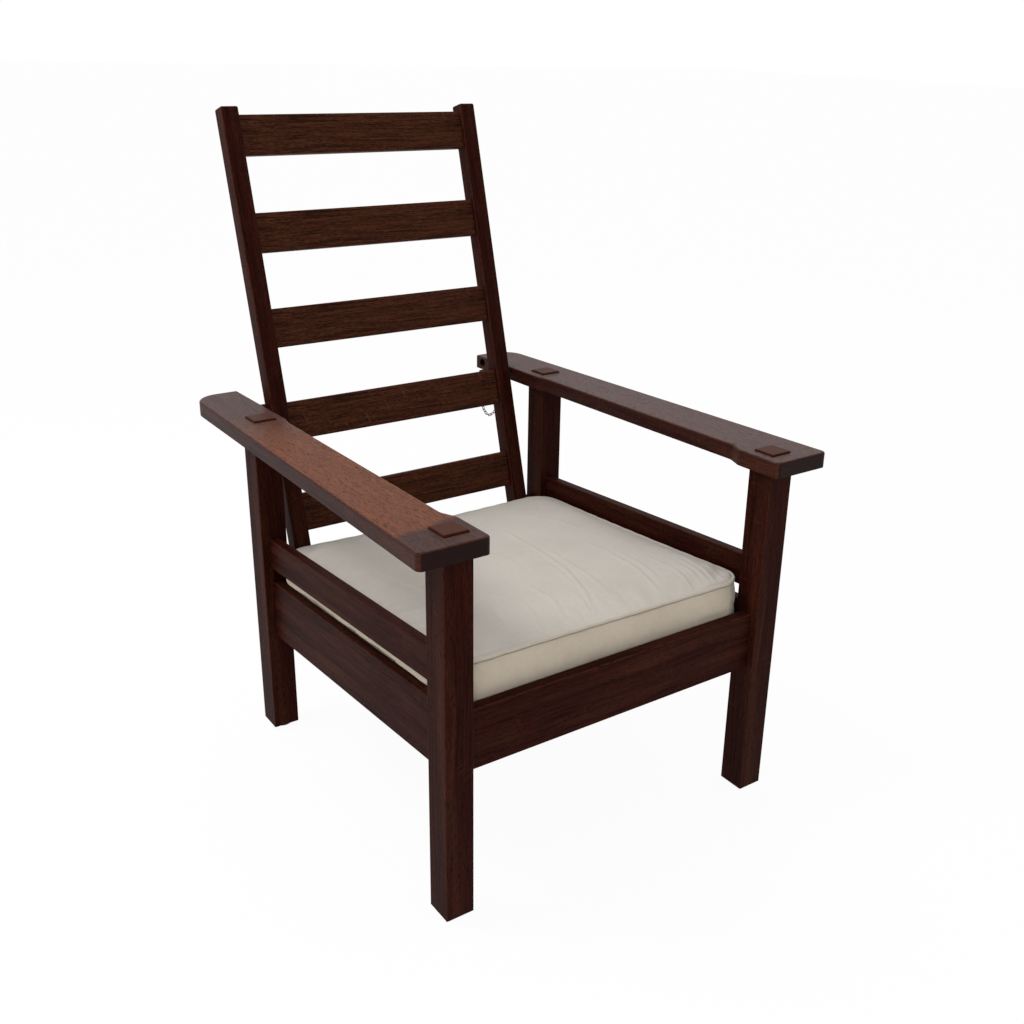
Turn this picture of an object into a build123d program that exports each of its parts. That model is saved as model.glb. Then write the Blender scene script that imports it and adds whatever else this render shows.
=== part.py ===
from build123d import *
import math
import os

# Mission reclining armchair in quarter-sawn oak, in millimetres.
# The chair faces -Y, the sitter's left is +X and it stands on the floor at Z = 0.
# The joinery is laid out square on a bench plane. The rear legs are cut shorter, so that
# the bench plane, and the whole chair with it, leans back.

os.makedirs("parts", exist_ok=True)

# Frame sizes, measured square to the bench plane
leg_size = 44.0
width_over_legs = 605.0
depth_over_legs = 606.0
arm_underside = 542.5
arm_thickness = 24.0
frame_lean = 2.0
leg_edge_round = 1.6

# Arm outline, as overhangs beyond the faces of the legs
arm_front_overhang = 21.5
arm_rear_overhang = 158.0
arm_outer_front_overhang = 47.5
arm_outer_rear_overhang = 22.5
arm_inner_overhang = 12.5
arm_waist_front_overhang = 2.5
arm_waist_rear_overhang = 8.0
waist_start = 56.0
waist_end = 20.0
waist_slope = 24.0
waist_round = 18.0
arm_corner_round = 8.0
arm_rear_corner_round = 42.0
arm_rear_inner_round = 4.0
arm_edge_round = 3.2

# Joinery
tenon_proud = 3.0
through_tenon = 37.0
tenon_chamfer = 1.6
tenon_thickness = 10.0
tenon_length = 16.0
tenon_shoulder = 8.0
glue_gap = 0.1
mortise_spare = 1.0
cut_over = 5.0

# Rails
rail_thickness = 16.0
front_rail_thickness = 19.0
front_rail_height = 92.0
front_rail_over_seat = 39.4
front_rail_edge_round = 3.0
rear_rail_below_post = 18.3
side_rail_height = 99.5
side_rail_below_seat = 52.8
upper_rail_height = 51.5
upper_rail_over_seat = 70.2
rail_edge_round = 1.6
seat_slope = 2.75

# Reclining back
back_width = 476.0
post_width = 29.2
post_depth = 27.2
back_height = 732.0
back_recline = 14.8
pivot_height = 315.9
pivot_behind_leg_centre = 2.5
slat_count = 5
slat_height = 63.5
slat_thickness = 14.0
bottom_slat_over_pivot = 40.9
top_slat_below_post_top = 12.0
slat_tenon_length = 14.0
slat_tenon_shoulder = 5.0
slat_tenon_thickness = 8.0
post_edge_round = 2.0
post_top_chamfer = 1.8
slat_edge_round = 1.6

# Back pivot hardware
bolt_radius = 4.75
bolt_head_radius = 9.5
bolt_head_height = 5.0
bolt_in_leg = 30.0
bolt_running_clearance = 0.06
spacer_radius = 15.0
spacer_sides = 24
spacer_bore_sides = 12
side_clearance = 0.3

# Pegs and their holes
peg_radius = 8.0
peg_hole_clearance = 0.3
peg_hole_wall = 45.5
peg_hole_mouth = 0.8
drill_point = 4.8
peg_inserted = 32.0
peg_reach_past_post = 13.0
peg_end_chamfer = 1.2
peg_hole_pitch = 35.0
peg_hole_count = 3
peg_rest_gap = 0.3

# Chains and screw eyes
eye_ring_radius = 3.6
eye_wire_radius = 0.9
eye_ring_sides = 12
eye_stem_radius = 1.2
eye_stem_length = 10.0
eye_neck = 1.8
eye_stem_clearance = 0.05
chain_length = 180.0
link_length = 10.4
link_width = 5.6
link_wire = 1.3
link_clearance = 0.6
chain_halvings = 60
chain_bracket_share = 100
arm_eye_inset = 17.0
arm_eye_behind_leg = 88.0

# Cushion, square to the sloping seat
cushion_side_clearance = 4.5
cushion_front_clearance = 0.5
cushion_rear_clearance = 1.0
cushion_height = 91.0
cushion_crown = 11.0
cushion_corner = 40.0
cushion_base_inset = 19.0
cushion_side_draw = 3.0
welt_radius = 3.2
cushion_seat_height = 271.6
cushion_gap = 0.3
# The crown's haunch and shoulder, as (share of the way out from the middle, share of its height)
crown_shares = ((0.82, 0.52), (0.6, 0.83))

# Seat support
cleat_width = 22.0
cleat_height = 22.0
cleat_end_clearance = 9.0
seat_slat_count = 7
seat_slat_width = 55.0
seat_slat_thickness = 12.0
seat_slat_end_clearance = 1.0
seat_slat_edge_chamfer = 1.5
screw_count = 4
screw_radius = 2.1
screw_head_radius = 4.2
screw_length = 32.0
screw_clearance = 0.1
screw_tip_radius = 0.6
screw_end_margin = 40.0

# Glides
glide_radius = 10.0
glide_height = 6.0
glide_flat_radius = 4.0
glide_stem_radius = 1.8
glide_stem_length = 14.0
glide_stem_clearance = 0.1
glide_sides = 16
glide_rim = 0.8
# The dome's shoulder, as (share of the way in from the rim to the flat, share of the height)
glide_shoulder_share = (0.25, 0.3)

# Nails, screws, stems and their pilot holes have few sides, because they are small and hidden
stem_sides = 6

# Worked out from the sizes above
half_width = width_over_legs / 2
half_depth = depth_over_legs / 2
leg_x = half_width - leg_size / 2
leg_y = half_depth - leg_size / 2
leg_inner_x = half_width - leg_size
leg_inner_y = half_depth - leg_size
rail_x = leg_x
rail_inner_x = rail_x - rail_thickness / 2
arm_middle = arm_underside + arm_thickness / 2
arm_rear_y = half_depth + arm_rear_overhang
arm_front_y = -half_depth - arm_front_overhang
arm_inner_x = leg_inner_x - arm_inner_overhang
arm_taper = (arm_outer_front_overhang - arm_outer_rear_overhang) / (arm_rear_y - arm_front_y)
front_rail_top = cushion_seat_height + front_rail_over_seat
rear_rail_top = pivot_height - post_depth / 2 - rear_rail_below_post
side_rail_front_bottom = cushion_seat_height - side_rail_below_seat
upper_rail_front_bottom = cushion_seat_height + upper_rail_over_seat
pivot_y = leg_y + pivot_behind_leg_centre
post_x = back_width / 2 - post_width / 2
post_inner_x = back_width / 2 - post_width
slope = math.tan(math.radians(seat_slope))

# The bench plane stands so that the feet share the floor and the chair is centred over the origin
lean_sin = math.sin(math.radians(frame_lean))
lean_cos = math.cos(math.radians(frame_lean))
recline_sin = math.sin(math.radians(back_recline))
recline_cos = math.cos(math.radians(back_recline))
post_top_rear_y = pivot_y + back_height * recline_sin + post_depth / 2 * recline_cos
post_top_rear_z = pivot_height + back_height * recline_cos - post_depth / 2 * recline_sin
front_reach = arm_front_y * lean_cos + arm_underside * lean_sin
rear_reach = post_top_rear_y * lean_cos + post_top_rear_z * lean_sin
bench_y = -(front_reach + rear_reach) / 2
bench_z = glide_height - leg_y * lean_sin
bench = Plane(origin=(0, bench_y, bench_z), x_dir=(1, 0, 0), z_dir=(0, lean_sin, lean_cos))
bench_up = Axis(bench.origin, bench.z_dir)

# The back's own plane: local Z runs up the posts and the origin is the pivot
back_angle = math.radians(frame_lean + back_recline)
back_origin = bench.from_local_coords((0, pivot_y, pivot_height))
back_up = (0, math.sin(back_angle), math.cos(back_angle))
back_plane = Plane(origin=back_origin, x_dir=(1, 0, 0), z_dir=back_up)

# The seat's plane: its origin is under the middle of the cushion's front edge
seat_angle = math.radians(frame_lean + seat_slope)
cushion_front_y = -leg_y + front_rail_thickness / 2 + cushion_front_clearance
seat_origin = bench.from_local_coords((0, cushion_front_y, cushion_seat_height))
seat_up = (0, math.sin(seat_angle), math.cos(seat_angle))
seat_plane = Plane(origin=seat_origin, x_dir=(1, 0, 0), z_dir=seat_up)

# The cleats' middle plane under the seat slats, and the places of the screws along it
cleat_middle = seat_plane.offset(-cushion_gap - seat_slat_thickness - cleat_height / 2)
cleat_centre_y = -cushion_front_y / math.cos(math.radians(seat_slope))
cleat_length = 2 * (leg_inner_y - cleat_end_clearance) / math.cos(math.radians(seat_slope))
screw_run = cleat_length - 2 * screw_end_margin
screw_places = [
    cleat_centre_y - screw_run / 2 + n * screw_run / (screw_count - 1) for n in range(screw_count)
]

sides = (("left", 1), ("right", -1))
ends = (("front", -1), ("rear", 1))


def side_view(plane, x):
    """Plane of a side view at x: local X runs rearward in the given plane and local Y runs up."""
    return Plane(plane.from_local_coords((x, 0, 0)), x_dir=plane.y_dir, z_dir=plane.x_dir)


def front_view(plane, y):
    """Plane of a front view at y: local X is the chair's X and local Y runs up."""
    return Plane(plane.from_local_coords((0, y, 0)), x_dir=plane.x_dir, z_dir=-plane.y_dir)


def save(part, name):
    """Labels a finished piece and writes it."""
    part.label = name
    export_step(part, f"parts/{name}.step")


def side_rail_bottom(front_bottom, y):
    """Height of a sloping rail's lower edge at y, from its height at the front leg's inner face."""
    return front_bottom - (y + leg_inner_y) * slope


def sloping_profile(front_bottom, start, stop, low, high):
    """Corners of a stretch of sloping rail between two depths, from low to high over its lower edge."""
    start_bottom = side_rail_bottom(front_bottom, start)
    stop_bottom = side_rail_bottom(front_bottom, stop)
    return (
        (start, start_bottom + low),
        (stop, stop_bottom + low),
        (stop, stop_bottom + high),
        (start, start_bottom + high),
    )


def screw_plane(side_sign, y):
    """Plane of a cleat screw's head: its normal runs outward into the side rail."""
    head = cleat_middle.from_local_coords((side_sign * (rail_inner_x - cleat_width), y, 0))
    return Plane(head, x_dir=bench.y_dir, z_dir=(side_sign, 0, 0))


def turned_level(plane, along, radius, side_count):
    """One level of a small turned piece: a regular polygon at a distance along the plane's normal."""
    with BuildSketch(plane.offset(along)) as level:
        RegularPolygon(radius, side_count)
    return level.sketch


def catenary(span, rise, length, along):
    """Where a hanging chain is after a run along it, as level distance and height from its start.

    Its shape is size * cosh(x / size). The size is found by halving, and then the run is placed.
    """
    level = math.sqrt(length * length - rise * rise)
    low, high = span / chain_bracket_share, span * chain_bracket_share
    for _ in range(chain_halvings):
        size = math.sqrt(low * high)
        if 2 * size * math.sinh(span / (2 * size)) > level:
            low = size
        else:
            high = size
    lowest = span / 2 - size * math.atanh(rise / length)
    reach = size * math.asinh(math.sinh(-lowest / size) + along / size)
    return lowest + reach, size * (math.cosh(reach / size) - math.cosh(lowest / size))


# Legs
rail_mortises = (
    (side_rail_front_bottom, side_rail_height),
    (upper_rail_front_bottom, upper_rail_height),
)
cross_rail_bottom = {"front": front_rail_top - front_rail_height, "rear": rear_rail_top - front_rail_height}
mortise_depth = tenon_length + mortise_spare
mortise_thickness = tenon_thickness + 2 * glue_gap

for end, end_sign in ends:
    for side, side_sign in sides:
        leg_centre = (side_sign * leg_x, end_sign * leg_y)
        with BuildPart() as leg:
            with BuildSketch(bench.offset(-glide_height - leg_size)):
                with Locations(leg_centre):
                    Rectangle(leg_size, leg_size)
            extrude(amount=arm_underside + glide_height + leg_size)
            fillet(leg.edges().filter_by(bench_up), radius=leg_edge_round)
            split(bisect_by=Plane.XY.offset(glide_height), keep=Keep.TOP)
            with BuildSketch(bench.offset(arm_underside)):
                with Locations(leg_centre):
                    Rectangle(through_tenon, through_tenon)
            extrude(amount=arm_thickness + tenon_proud)
            chamfer(leg.faces().sort_by(bench_up)[-1].edges(), length=tenon_chamfer)
            # Mortises for the two side rails, cut from the leg's inner end face
            for front_bottom, height in rail_mortises:
                corners = sloping_profile(
                    front_bottom,
                    end_sign * leg_inner_y,
                    end_sign * (leg_inner_y + mortise_depth),
                    tenon_shoulder - glue_gap,
                    height - tenon_shoulder + glue_gap,
                )
                with BuildSketch(side_view(bench, side_sign * rail_x)):
                    with BuildLine():
                        Polyline(*corners, close=True)
                    make_face()
                extrude(amount=mortise_thickness / 2, both=True, mode=Mode.SUBTRACT)
            # Mortise for the cross rail, cut from the inner side face
            mortise_x = side_sign * (leg_inner_x + mortise_depth / 2)
            cross_height = front_rail_height - 2 * tenon_shoulder + 2 * glue_gap
            cross_middle = cross_rail_bottom[end] + front_rail_height / 2
            with BuildSketch(front_view(bench, end_sign * leg_y)):
                with Locations((mortise_x, cross_middle)):
                    Rectangle(mortise_depth, cross_height)
            extrude(amount=mortise_thickness / 2, both=True, mode=Mode.SUBTRACT)
            if end == "rear":
                with BuildSketch(side_view(bench, side_sign * (leg_inner_x - cut_over))):
                    with Locations((pivot_y, pivot_height)):
                        Circle(bolt_radius + bolt_running_clearance)
                extrude(amount=side_sign * (bolt_in_leg + mortise_spare + cut_over), mode=Mode.SUBTRACT)
            foot_point = bench.from_local_coords((side_sign * leg_x, end_sign * leg_y, 0))
            with BuildSketch(Plane.XY.offset(glide_height)):
                with Locations((foot_point.X, foot_point.Y)):
                    RegularPolygon(glide_stem_radius + glide_stem_clearance, stem_sides)
            extrude(amount=glide_stem_length + mortise_spare, mode=Mode.SUBTRACT)
        save(leg.part, f"leg_{end}_{side}")

        # A domed steel glide with its nail, driven into the foot
        glide_plane = Plane((foot_point.X, foot_point.Y, 0), x_dir=(1, 0, 0))
        in_share, up_share = glide_shoulder_share
        dome_in = (glide_radius - glide_flat_radius) * math.cos(math.pi / glide_sides)
        with BuildPart() as glide:
            with BuildSketch(glide_plane):
                RegularPolygon(glide_radius, glide_sides)
            extrude(amount=glide_height)
            for inward, upward in (
                (in_share * dome_in, glide_height - glide_rim),
                ((1 - in_share) * dome_in, up_share * glide_height),
            ):
                underside = glide.faces().sort_by(Axis.Z)[0]
                chamfer(underside.edges(), length=inward, length2=upward, reference=underside)
            with BuildSketch(glide_plane.offset(glide_height)):
                RegularPolygon(glide_stem_radius, stem_sides)
            extrude(amount=glide_stem_length)
            chamfer(glide.faces().sort_by(Axis.Z)[-1].edges(), length=glide_stem_radius / 2)
        save(glide.part, f"glide_{end}_{side}")
        print(f"glide_{end}_{side}", tuple(round(value, 3) for value in (foot_point.X, foot_point.Y)))

# Arms
peg_first_y = (
    pivot_y
    + (arm_middle - pivot_height) * recline_sin / recline_cos
    + (post_depth / 2 + peg_rest_gap + peg_radius) / recline_cos
)
peg_hole_radius = peg_radius + peg_hole_clearance
peg_hole_places = [peg_first_y + n * peg_hole_pitch for n in range(peg_hole_count)]
# Each hole stops an even wall short of the arm's tapering outer edge
peg_hole_depths = [
    half_width + arm_outer_front_overhang - (y - arm_front_y) * arm_taper - peg_hole_wall - arm_inner_x
    for y in peg_hole_places
]

for side, side_sign in sides:
    with BuildPart() as arm:
        with BuildSketch(bench.offset(arm_underside)):
            outline = (
                (arm_inner_x, arm_front_y),
                (arm_inner_x, -leg_inner_y + waist_start - waist_slope - waist_end),
                (leg_inner_x - arm_waist_front_overhang, -leg_inner_y + waist_start - waist_end),
                (leg_inner_x - arm_waist_rear_overhang, leg_inner_y - waist_end),
                (arm_inner_x, leg_inner_y - waist_end + waist_slope),
                (arm_inner_x, arm_rear_y),
                (half_width + arm_outer_rear_overhang, arm_rear_y),
                (half_width + arm_outer_front_overhang, arm_front_y),
            )
            rounds = (
                arm_corner_round,
                waist_round,
                waist_round,
                waist_round,
                waist_round,
                arm_rear_inner_round,
                arm_rear_corner_round,
                arm_corner_round,
            )
            with BuildLine():
                FilletPolyline(*((side_sign * x, y) for x, y in outline), radius=rounds, close=True)
            make_face()
        extrude(amount=arm_thickness)
        top_edges = arm.faces().sort_by(bench_up)[-1].edges()
        fillet(top_edges, radius=arm_edge_round)
        with BuildSketch(bench.offset(arm_underside - cut_over)):
            with Locations((side_sign * leg_x, -leg_y), (side_sign * leg_x, leg_y)):
                Rectangle(through_tenon + 2 * glue_gap, through_tenon + 2 * glue_gap)
        extrude(amount=arm_thickness + 2 * cut_over, mode=Mode.SUBTRACT)
        # Peg holes with an eased mouth and a drill point
        for y, depth in zip(peg_hole_places, peg_hole_depths):
            mouth = bench.from_local_coords((side_sign * arm_inner_x, y, arm_middle))
            with BuildSketch(Plane(mouth, x_dir=(side_sign, 0, 0), z_dir=bench.z_dir)):
                with BuildLine():
                    Polyline(
                        (-cut_over, 0),
                        (-cut_over, peg_hole_radius + peg_hole_mouth + cut_over),
                        (peg_hole_mouth, peg_hole_radius),
                        (depth, peg_hole_radius),
                        (depth + drill_point, 0),
                        close=True,
                    )
                make_face()
            revolve(axis=Axis(mouth, (side_sign, 0, 0)), mode=Mode.SUBTRACT)
        # Pilot hole for the chain's screw eye, from below
        eye_place = (side_sign * (arm_inner_x + arm_eye_inset), half_depth + arm_eye_behind_leg)
        with BuildSketch(bench.offset(arm_underside - cut_over)):
            with Locations(eye_place):
                RegularPolygon(eye_stem_radius + eye_stem_clearance, stem_sides)
        extrude(amount=eye_stem_length + mortise_spare + cut_over, mode=Mode.SUBTRACT)
    save(arm.part, f"arm_{side}")
    for n, (y, depth) in enumerate(zip(peg_hole_places, peg_hole_depths)):
        hole = bench.from_local_coords((side_sign * arm_inner_x, y, arm_middle))
        print(f"peg hole {side} {n}", tuple(round(value, 3) for value in hole), "depth", round(depth, 2))

# Front and rear rails, tenoned into the inner faces of the legs
for end, end_sign in ends:
    rail_bottom = cross_rail_bottom[end]
    with BuildPart() as rail:
        with BuildSketch(front_view(bench, end_sign * leg_y)):
            with Locations((0, rail_bottom + front_rail_height / 2)):
                Rectangle(2 * leg_inner_x, front_rail_height)
        extrude(amount=front_rail_thickness / 2, both=True)
        long_edges = rail.edges().filter_by(Axis.X).group_by(bench_up)
        fillet(long_edges[-1], radius=front_rail_edge_round)
        fillet(rail.edges().filter_by(Axis.X).group_by(bench_up)[0], radius=rail_edge_round)
        with BuildSketch(front_view(bench, end_sign * leg_y)):
            with Locations((0, rail_bottom + front_rail_height / 2)):
                Rectangle(2 * (leg_inner_x + tenon_length), front_rail_height - 2 * tenon_shoulder)
        extrude(amount=tenon_thickness / 2, both=True)
    save(rail.part, f"{end}_rail")

# Side rails: the wide lower pair and the narrow upper pair, which slope with the seat
seat_rearward = Axis(seat_plane.origin, seat_plane.y_dir)
for name, front_bottom, height in (
    ("side_rail", side_rail_front_bottom, side_rail_height),
    ("upper_rail", upper_rail_front_bottom, upper_rail_height),
):
    for side, side_sign in sides:
        with BuildPart() as rail:
            with BuildSketch(side_view(bench, side_sign * rail_x)):
                with BuildLine():
                    corners = sloping_profile(front_bottom, -leg_inner_y, leg_inner_y, 0, height)
                    Polyline(*corners, close=True)
                make_face()
            extrude(amount=rail_thickness / 2, both=True)
            fillet(rail.edges().filter_by(seat_rearward), radius=rail_edge_round)
            reach = leg_inner_y + tenon_length
            corners = sloping_profile(front_bottom, -reach, reach, tenon_shoulder, height - tenon_shoulder)
            with BuildSketch(side_view(bench, side_sign * rail_x)):
                with BuildLine():
                    Polyline(*corners, close=True)
                make_face()
            extrude(amount=tenon_thickness / 2, both=True)
            if name == "side_rail":
                # Pilot holes for the cleat screws
                for y in screw_places:
                    with BuildSketch(screw_plane(side_sign, y)):
                        RegularPolygon(screw_radius + screw_clearance, stem_sides)
                    extrude(amount=screw_length + mortise_spare, mode=Mode.SUBTRACT)
        save(rail.part, f"{name}_{side}")

# Cleats inside the side rails, with their countersunk screws
for side, side_sign in sides:
    with BuildPart() as cleat:
        with BuildSketch(cleat_middle):
            with Locations((side_sign * (rail_inner_x - cleat_width / 2), cleat_centre_y)):
                Rectangle(cleat_width, cleat_length)
        extrude(amount=cleat_height / 2, both=True)
        for y in screw_places:
            for along, radius in (
                (0, screw_head_radius),
                (screw_head_radius - screw_radius, screw_radius),
                (cleat_width, screw_radius),
            ):
                add(turned_level(screw_plane(side_sign, y), along, radius + screw_clearance, stem_sides))
            loft(ruled=True, mode=Mode.SUBTRACT)
    save(cleat.part, f"cleat_{side}")

with BuildPart() as cleat_screws:
    for side, side_sign in sides:
        for y in screw_places:
            for along, radius in (
                (0, screw_head_radius),
                (screw_head_radius - screw_radius, screw_radius),
                (screw_length - screw_radius, screw_radius),
                (screw_length, screw_tip_radius),
            ):
                add(turned_level(screw_plane(side_sign, y), along, radius, stem_sides))
            loft(ruled=True)
save(cleat_screws.part, "cleat_screws")

# Seat slats across the cleats
cushion_rear_y = leg_inner_y - cushion_rear_clearance
seat_depth = (cushion_rear_y - cushion_front_y) / math.cos(math.radians(seat_slope))
slat_run = cleat_length - seat_slat_width
for n in range(seat_slat_count):
    slat_y = cleat_centre_y - slat_run / 2 + n * slat_run / (seat_slat_count - 1)
    with BuildPart() as seat_slat:
        with BuildSketch(seat_plane.offset(-cushion_gap)):
            with Locations((0, slat_y)):
                Rectangle(2 * (rail_inner_x - seat_slat_end_clearance), seat_slat_width)
        extrude(amount=-seat_slat_thickness)
        chamfer(seat_slat.edges().filter_by(Axis.X), length=seat_slat_edge_chamfer)
    save(seat_slat.part, f"seat_slat_{n + 1}")

# Reclining back: two posts rounded about the pivot, and five slats tenoned between them
top_slat_low = back_height - top_slat_below_post_top - slat_height
slat_pitch = (top_slat_low - bottom_slat_over_pivot) / (slat_count - 1)
slat_low = [top_slat_low - n * slat_pitch for n in range(slat_count)]
half_post = post_depth / 2
for side, side_sign in sides:
    with BuildPart() as post:
        with BuildSketch(back_plane.offset(-half_post)):
            with Locations((side_sign * post_x, 0)):
                Rectangle(post_width, post_depth)
        extrude(amount=back_height + half_post)
        post_up = Axis(back_plane.origin, back_plane.z_dir)
        fillet(post.edges().filter_by(post_up), radius=post_edge_round)
        chamfer(post.faces().sort_by(post_up)[-1].edges(), length=post_top_chamfer)
        # The lower end is rounded about the pivot
        with BuildSketch(side_view(back_plane, side_sign * post_x)):
            with BuildLine():
                top_corners = (-half_post, back_height), (half_post, back_height)
                Polyline((-half_post, 0), *top_corners, (half_post, 0))
                ThreePointArc((half_post, 0), (0, -half_post), (-half_post, 0))
            make_face()
        extrude(amount=post_width, both=True, mode=Mode.INTERSECT)
        for low in slat_low:
            with BuildSketch(side_view(back_plane, side_sign * (post_inner_x - cut_over))):
                with Locations((0, low + slat_height / 2)):
                    Rectangle(
                        slat_tenon_thickness + 2 * glue_gap,
                        slat_height - 2 * slat_tenon_shoulder + 2 * glue_gap,
                    )
            extrude(amount=side_sign * (slat_tenon_length + mortise_spare + cut_over), mode=Mode.SUBTRACT)
        with BuildSketch(side_view(back_plane, side_sign * (post_x - post_width))):
            Circle(bolt_radius + bolt_running_clearance)
        extrude(amount=side_sign * 2 * post_width, mode=Mode.SUBTRACT)
    save(post.part, f"back_post_{side}")

for n, low in enumerate(slat_low):
    with BuildPart() as slat:
        with BuildSketch(front_view(back_plane, 0)):
            with Locations((0, low + slat_height / 2)):
                Rectangle(2 * post_inner_x, slat_height)
        extrude(amount=slat_thickness / 2, both=True)
        fillet(slat.edges().filter_by(Axis.X), radius=slat_edge_round)
        with BuildSketch(front_view(back_plane, 0)):
            with Locations((0, low + slat_height / 2)):
                Rectangle(2 * (post_inner_x + slat_tenon_length), slat_height - 2 * slat_tenon_shoulder)
        extrude(amount=slat_tenon_thickness / 2, both=True)
    save(slat.part, f"back_slat_{n + 1}")

# Pivot bolts from inside each post, through a wooden spacer, into the rear leg
print("pivot", tuple(round(value, 3) for value in back_origin))
pivot_side = back_width / 2
for side, side_sign in sides:
    head_x = post_inner_x - side_clearance
    with BuildPart() as bolt:
        with BuildSketch(side_view(bench, side_sign * head_x)):
            with Locations((pivot_y, pivot_height)):
                Circle(bolt_radius)
        extrude(amount=side_sign * (leg_inner_x + bolt_in_leg - head_x))
        with BuildSketch(side_view(bench, side_sign * head_x)):
            with Locations((pivot_y, pivot_height)):
                RegularPolygon(radius=bolt_head_radius, side_count=6)
        extrude(amount=-side_sign * bolt_head_height)
    save(bolt.part, f"pivot_bolt_{side}")

    with BuildPart() as spacer:
        with BuildSketch(side_view(bench, side_sign * (pivot_side + side_clearance))):
            with Locations((pivot_y, pivot_height)):
                RegularPolygon(spacer_radius, spacer_sides)
                RegularPolygon(
                    bolt_radius + bolt_running_clearance,
                    spacer_bore_sides,
                    major_radius=False,
                    mode=Mode.SUBTRACT,
                )
        extrude(amount=side_sign * (leg_inner_x - pivot_side - side_clearance))
    save(spacer.part, f"pivot_spacer_{side}")

# Pegs with their screw eyes, the eyes under the arms, and the chains between them
for side, side_sign in sides:
    peg_outer_x = arm_inner_x + peg_inserted
    peg_inner_x = post_inner_x - peg_reach_past_post
    with BuildPart() as peg:
        with BuildSketch(side_view(bench, side_sign * peg_inner_x)):
            with Locations((peg_first_y, arm_middle)):
                Circle(peg_radius)
        extrude(amount=side_sign * (peg_outer_x - peg_inner_x))
        inner_rim = peg.edges().filter_by(GeomType.CIRCLE).sort_by(Axis.X)[0 if side_sign > 0 else -1]
        chamfer(inner_rim, length=peg_end_chamfer)
        with BuildSketch(side_view(bench, side_sign * (peg_inner_x - cut_over))):
            with Locations((peg_first_y, arm_middle)):
                RegularPolygon(eye_stem_radius + eye_stem_clearance, stem_sides)
        extrude(amount=side_sign * (eye_stem_length + mortise_spare + cut_over), mode=Mode.SUBTRACT)
    save(peg.part, f"peg_{side}")

    # Each eye is a wire ring on a stem, and its ring stands in the bench's front view
    eye_arm_x = side_sign * (arm_inner_x + arm_eye_inset)
    eye_arm_y = half_depth + arm_eye_behind_leg
    ring_lows = []
    peg_end = (side_sign * peg_inner_x, peg_first_y, arm_middle)
    for name, face, out, across in (
        ("peg_eye", peg_end, Vector(-side_sign, 0, 0), bench.y_dir),
        ("arm_eye", (eye_arm_x, eye_arm_y, arm_underside), -bench.z_dir, bench.x_dir),
    ):
        face_point = bench.from_local_coords(face)
        ring_centre = face_point + out * (eye_neck + eye_ring_radius)
        with BuildPart() as eye:
            with BuildSketch(Plane(face_point - out * eye_stem_length, x_dir=across, z_dir=out)):
                RegularPolygon(eye_stem_radius, stem_sides)
            extrude(amount=eye_stem_length + eye_neck)
            with BuildSketch(Plane(ring_centre, x_dir=bench.x_dir, z_dir=-bench.y_dir)):
                for reach, mode in ((eye_wire_radius, Mode.ADD), (-eye_wire_radius, Mode.SUBTRACT)):
                    RegularPolygon(
                        eye_ring_radius + reach,
                        eye_ring_sides,
                        major_radius=False,
                        rotation=180 / eye_ring_sides,
                        mode=mode,
                    )
            extrude(amount=eye_wire_radius, both=True)
        save(eye.part, f"{name}_{side}")
        ring_lows.append(ring_centre - bench.z_dir * eye_ring_radius)

    # The chain's end links pass through the rings, and it hangs in the upright plane between them.
    # Each link lies along a chord of the chain's curve, and by turns across that plane and in it,
    # with a link across at each end.
    hook = bench.z_dir * (eye_wire_radius + link_wire / 2 + link_clearance)
    chain_start, chain_end = (low + hook for low in ring_lows)
    flat = Vector(chain_end.X - chain_start.X, chain_end.Y - chain_start.Y, 0)
    level_dir = flat.normalized()
    across_dir = level_dir.cross(Vector(0, 0, 1))
    rise = chain_end.Z - chain_start.Z
    link_corner = link_width * (1 - math.sqrt(1 / 2))
    link_pitch = link_length - 2 * link_wire - link_clearance
    wire_span = link_length - link_wire
    link_count = 2 * round((chain_length - wire_span) / (2 * link_pitch)) + 1
    hung_length = (link_count - 1) * link_pitch + wire_span
    first_meeting = (wire_span - link_pitch) / 2
    meetings = []
    for n in range(link_count + 1):
        level, height = catenary(flat.length, rise, hung_length, first_meeting + n * link_pitch)
        meetings.append(chain_start + level_dir * level + Vector(0, 0, height))
    with BuildPart() as chain:
        for n in range(link_count):
            centre = (meetings[n] + meetings[n + 1]) / 2
            run = meetings[n + 1] - meetings[n]
            normal = across_dir if n % 2 else across_dir.cross(run)
            with BuildSketch(Plane(centre, x_dir=run, z_dir=normal).offset(-link_wire / 2)) as link:
                Rectangle(link_length, link_width)
                chamfer(link.vertices(), length=link_corner)
                offset(amount=-link_wire, kind=Kind.INTERSECTION, mode=Mode.SUBTRACT)
            extrude(amount=link_wire)
    save(chain.part, f"chain_{side}")
    lowest = chain.part.bounding_box().min.Z
    print(f"chain_{side}", link_count, "links,", len(chain.solids()), "solids, lowest", round(lowest, 1))

# Cushion: a welted box cushion with a crowned top, in the plane of the seat
cushion_half_width = rail_inner_x - cushion_side_clearance
cushion_half_depth = seat_depth / 2
cushion_middle = seat_plane.from_local_coords((0, cushion_half_depth, 0))
cushion_plane = Plane(cushion_middle, x_dir=(1, 0, 0), z_dir=seat_plane.z_dir)


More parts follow.
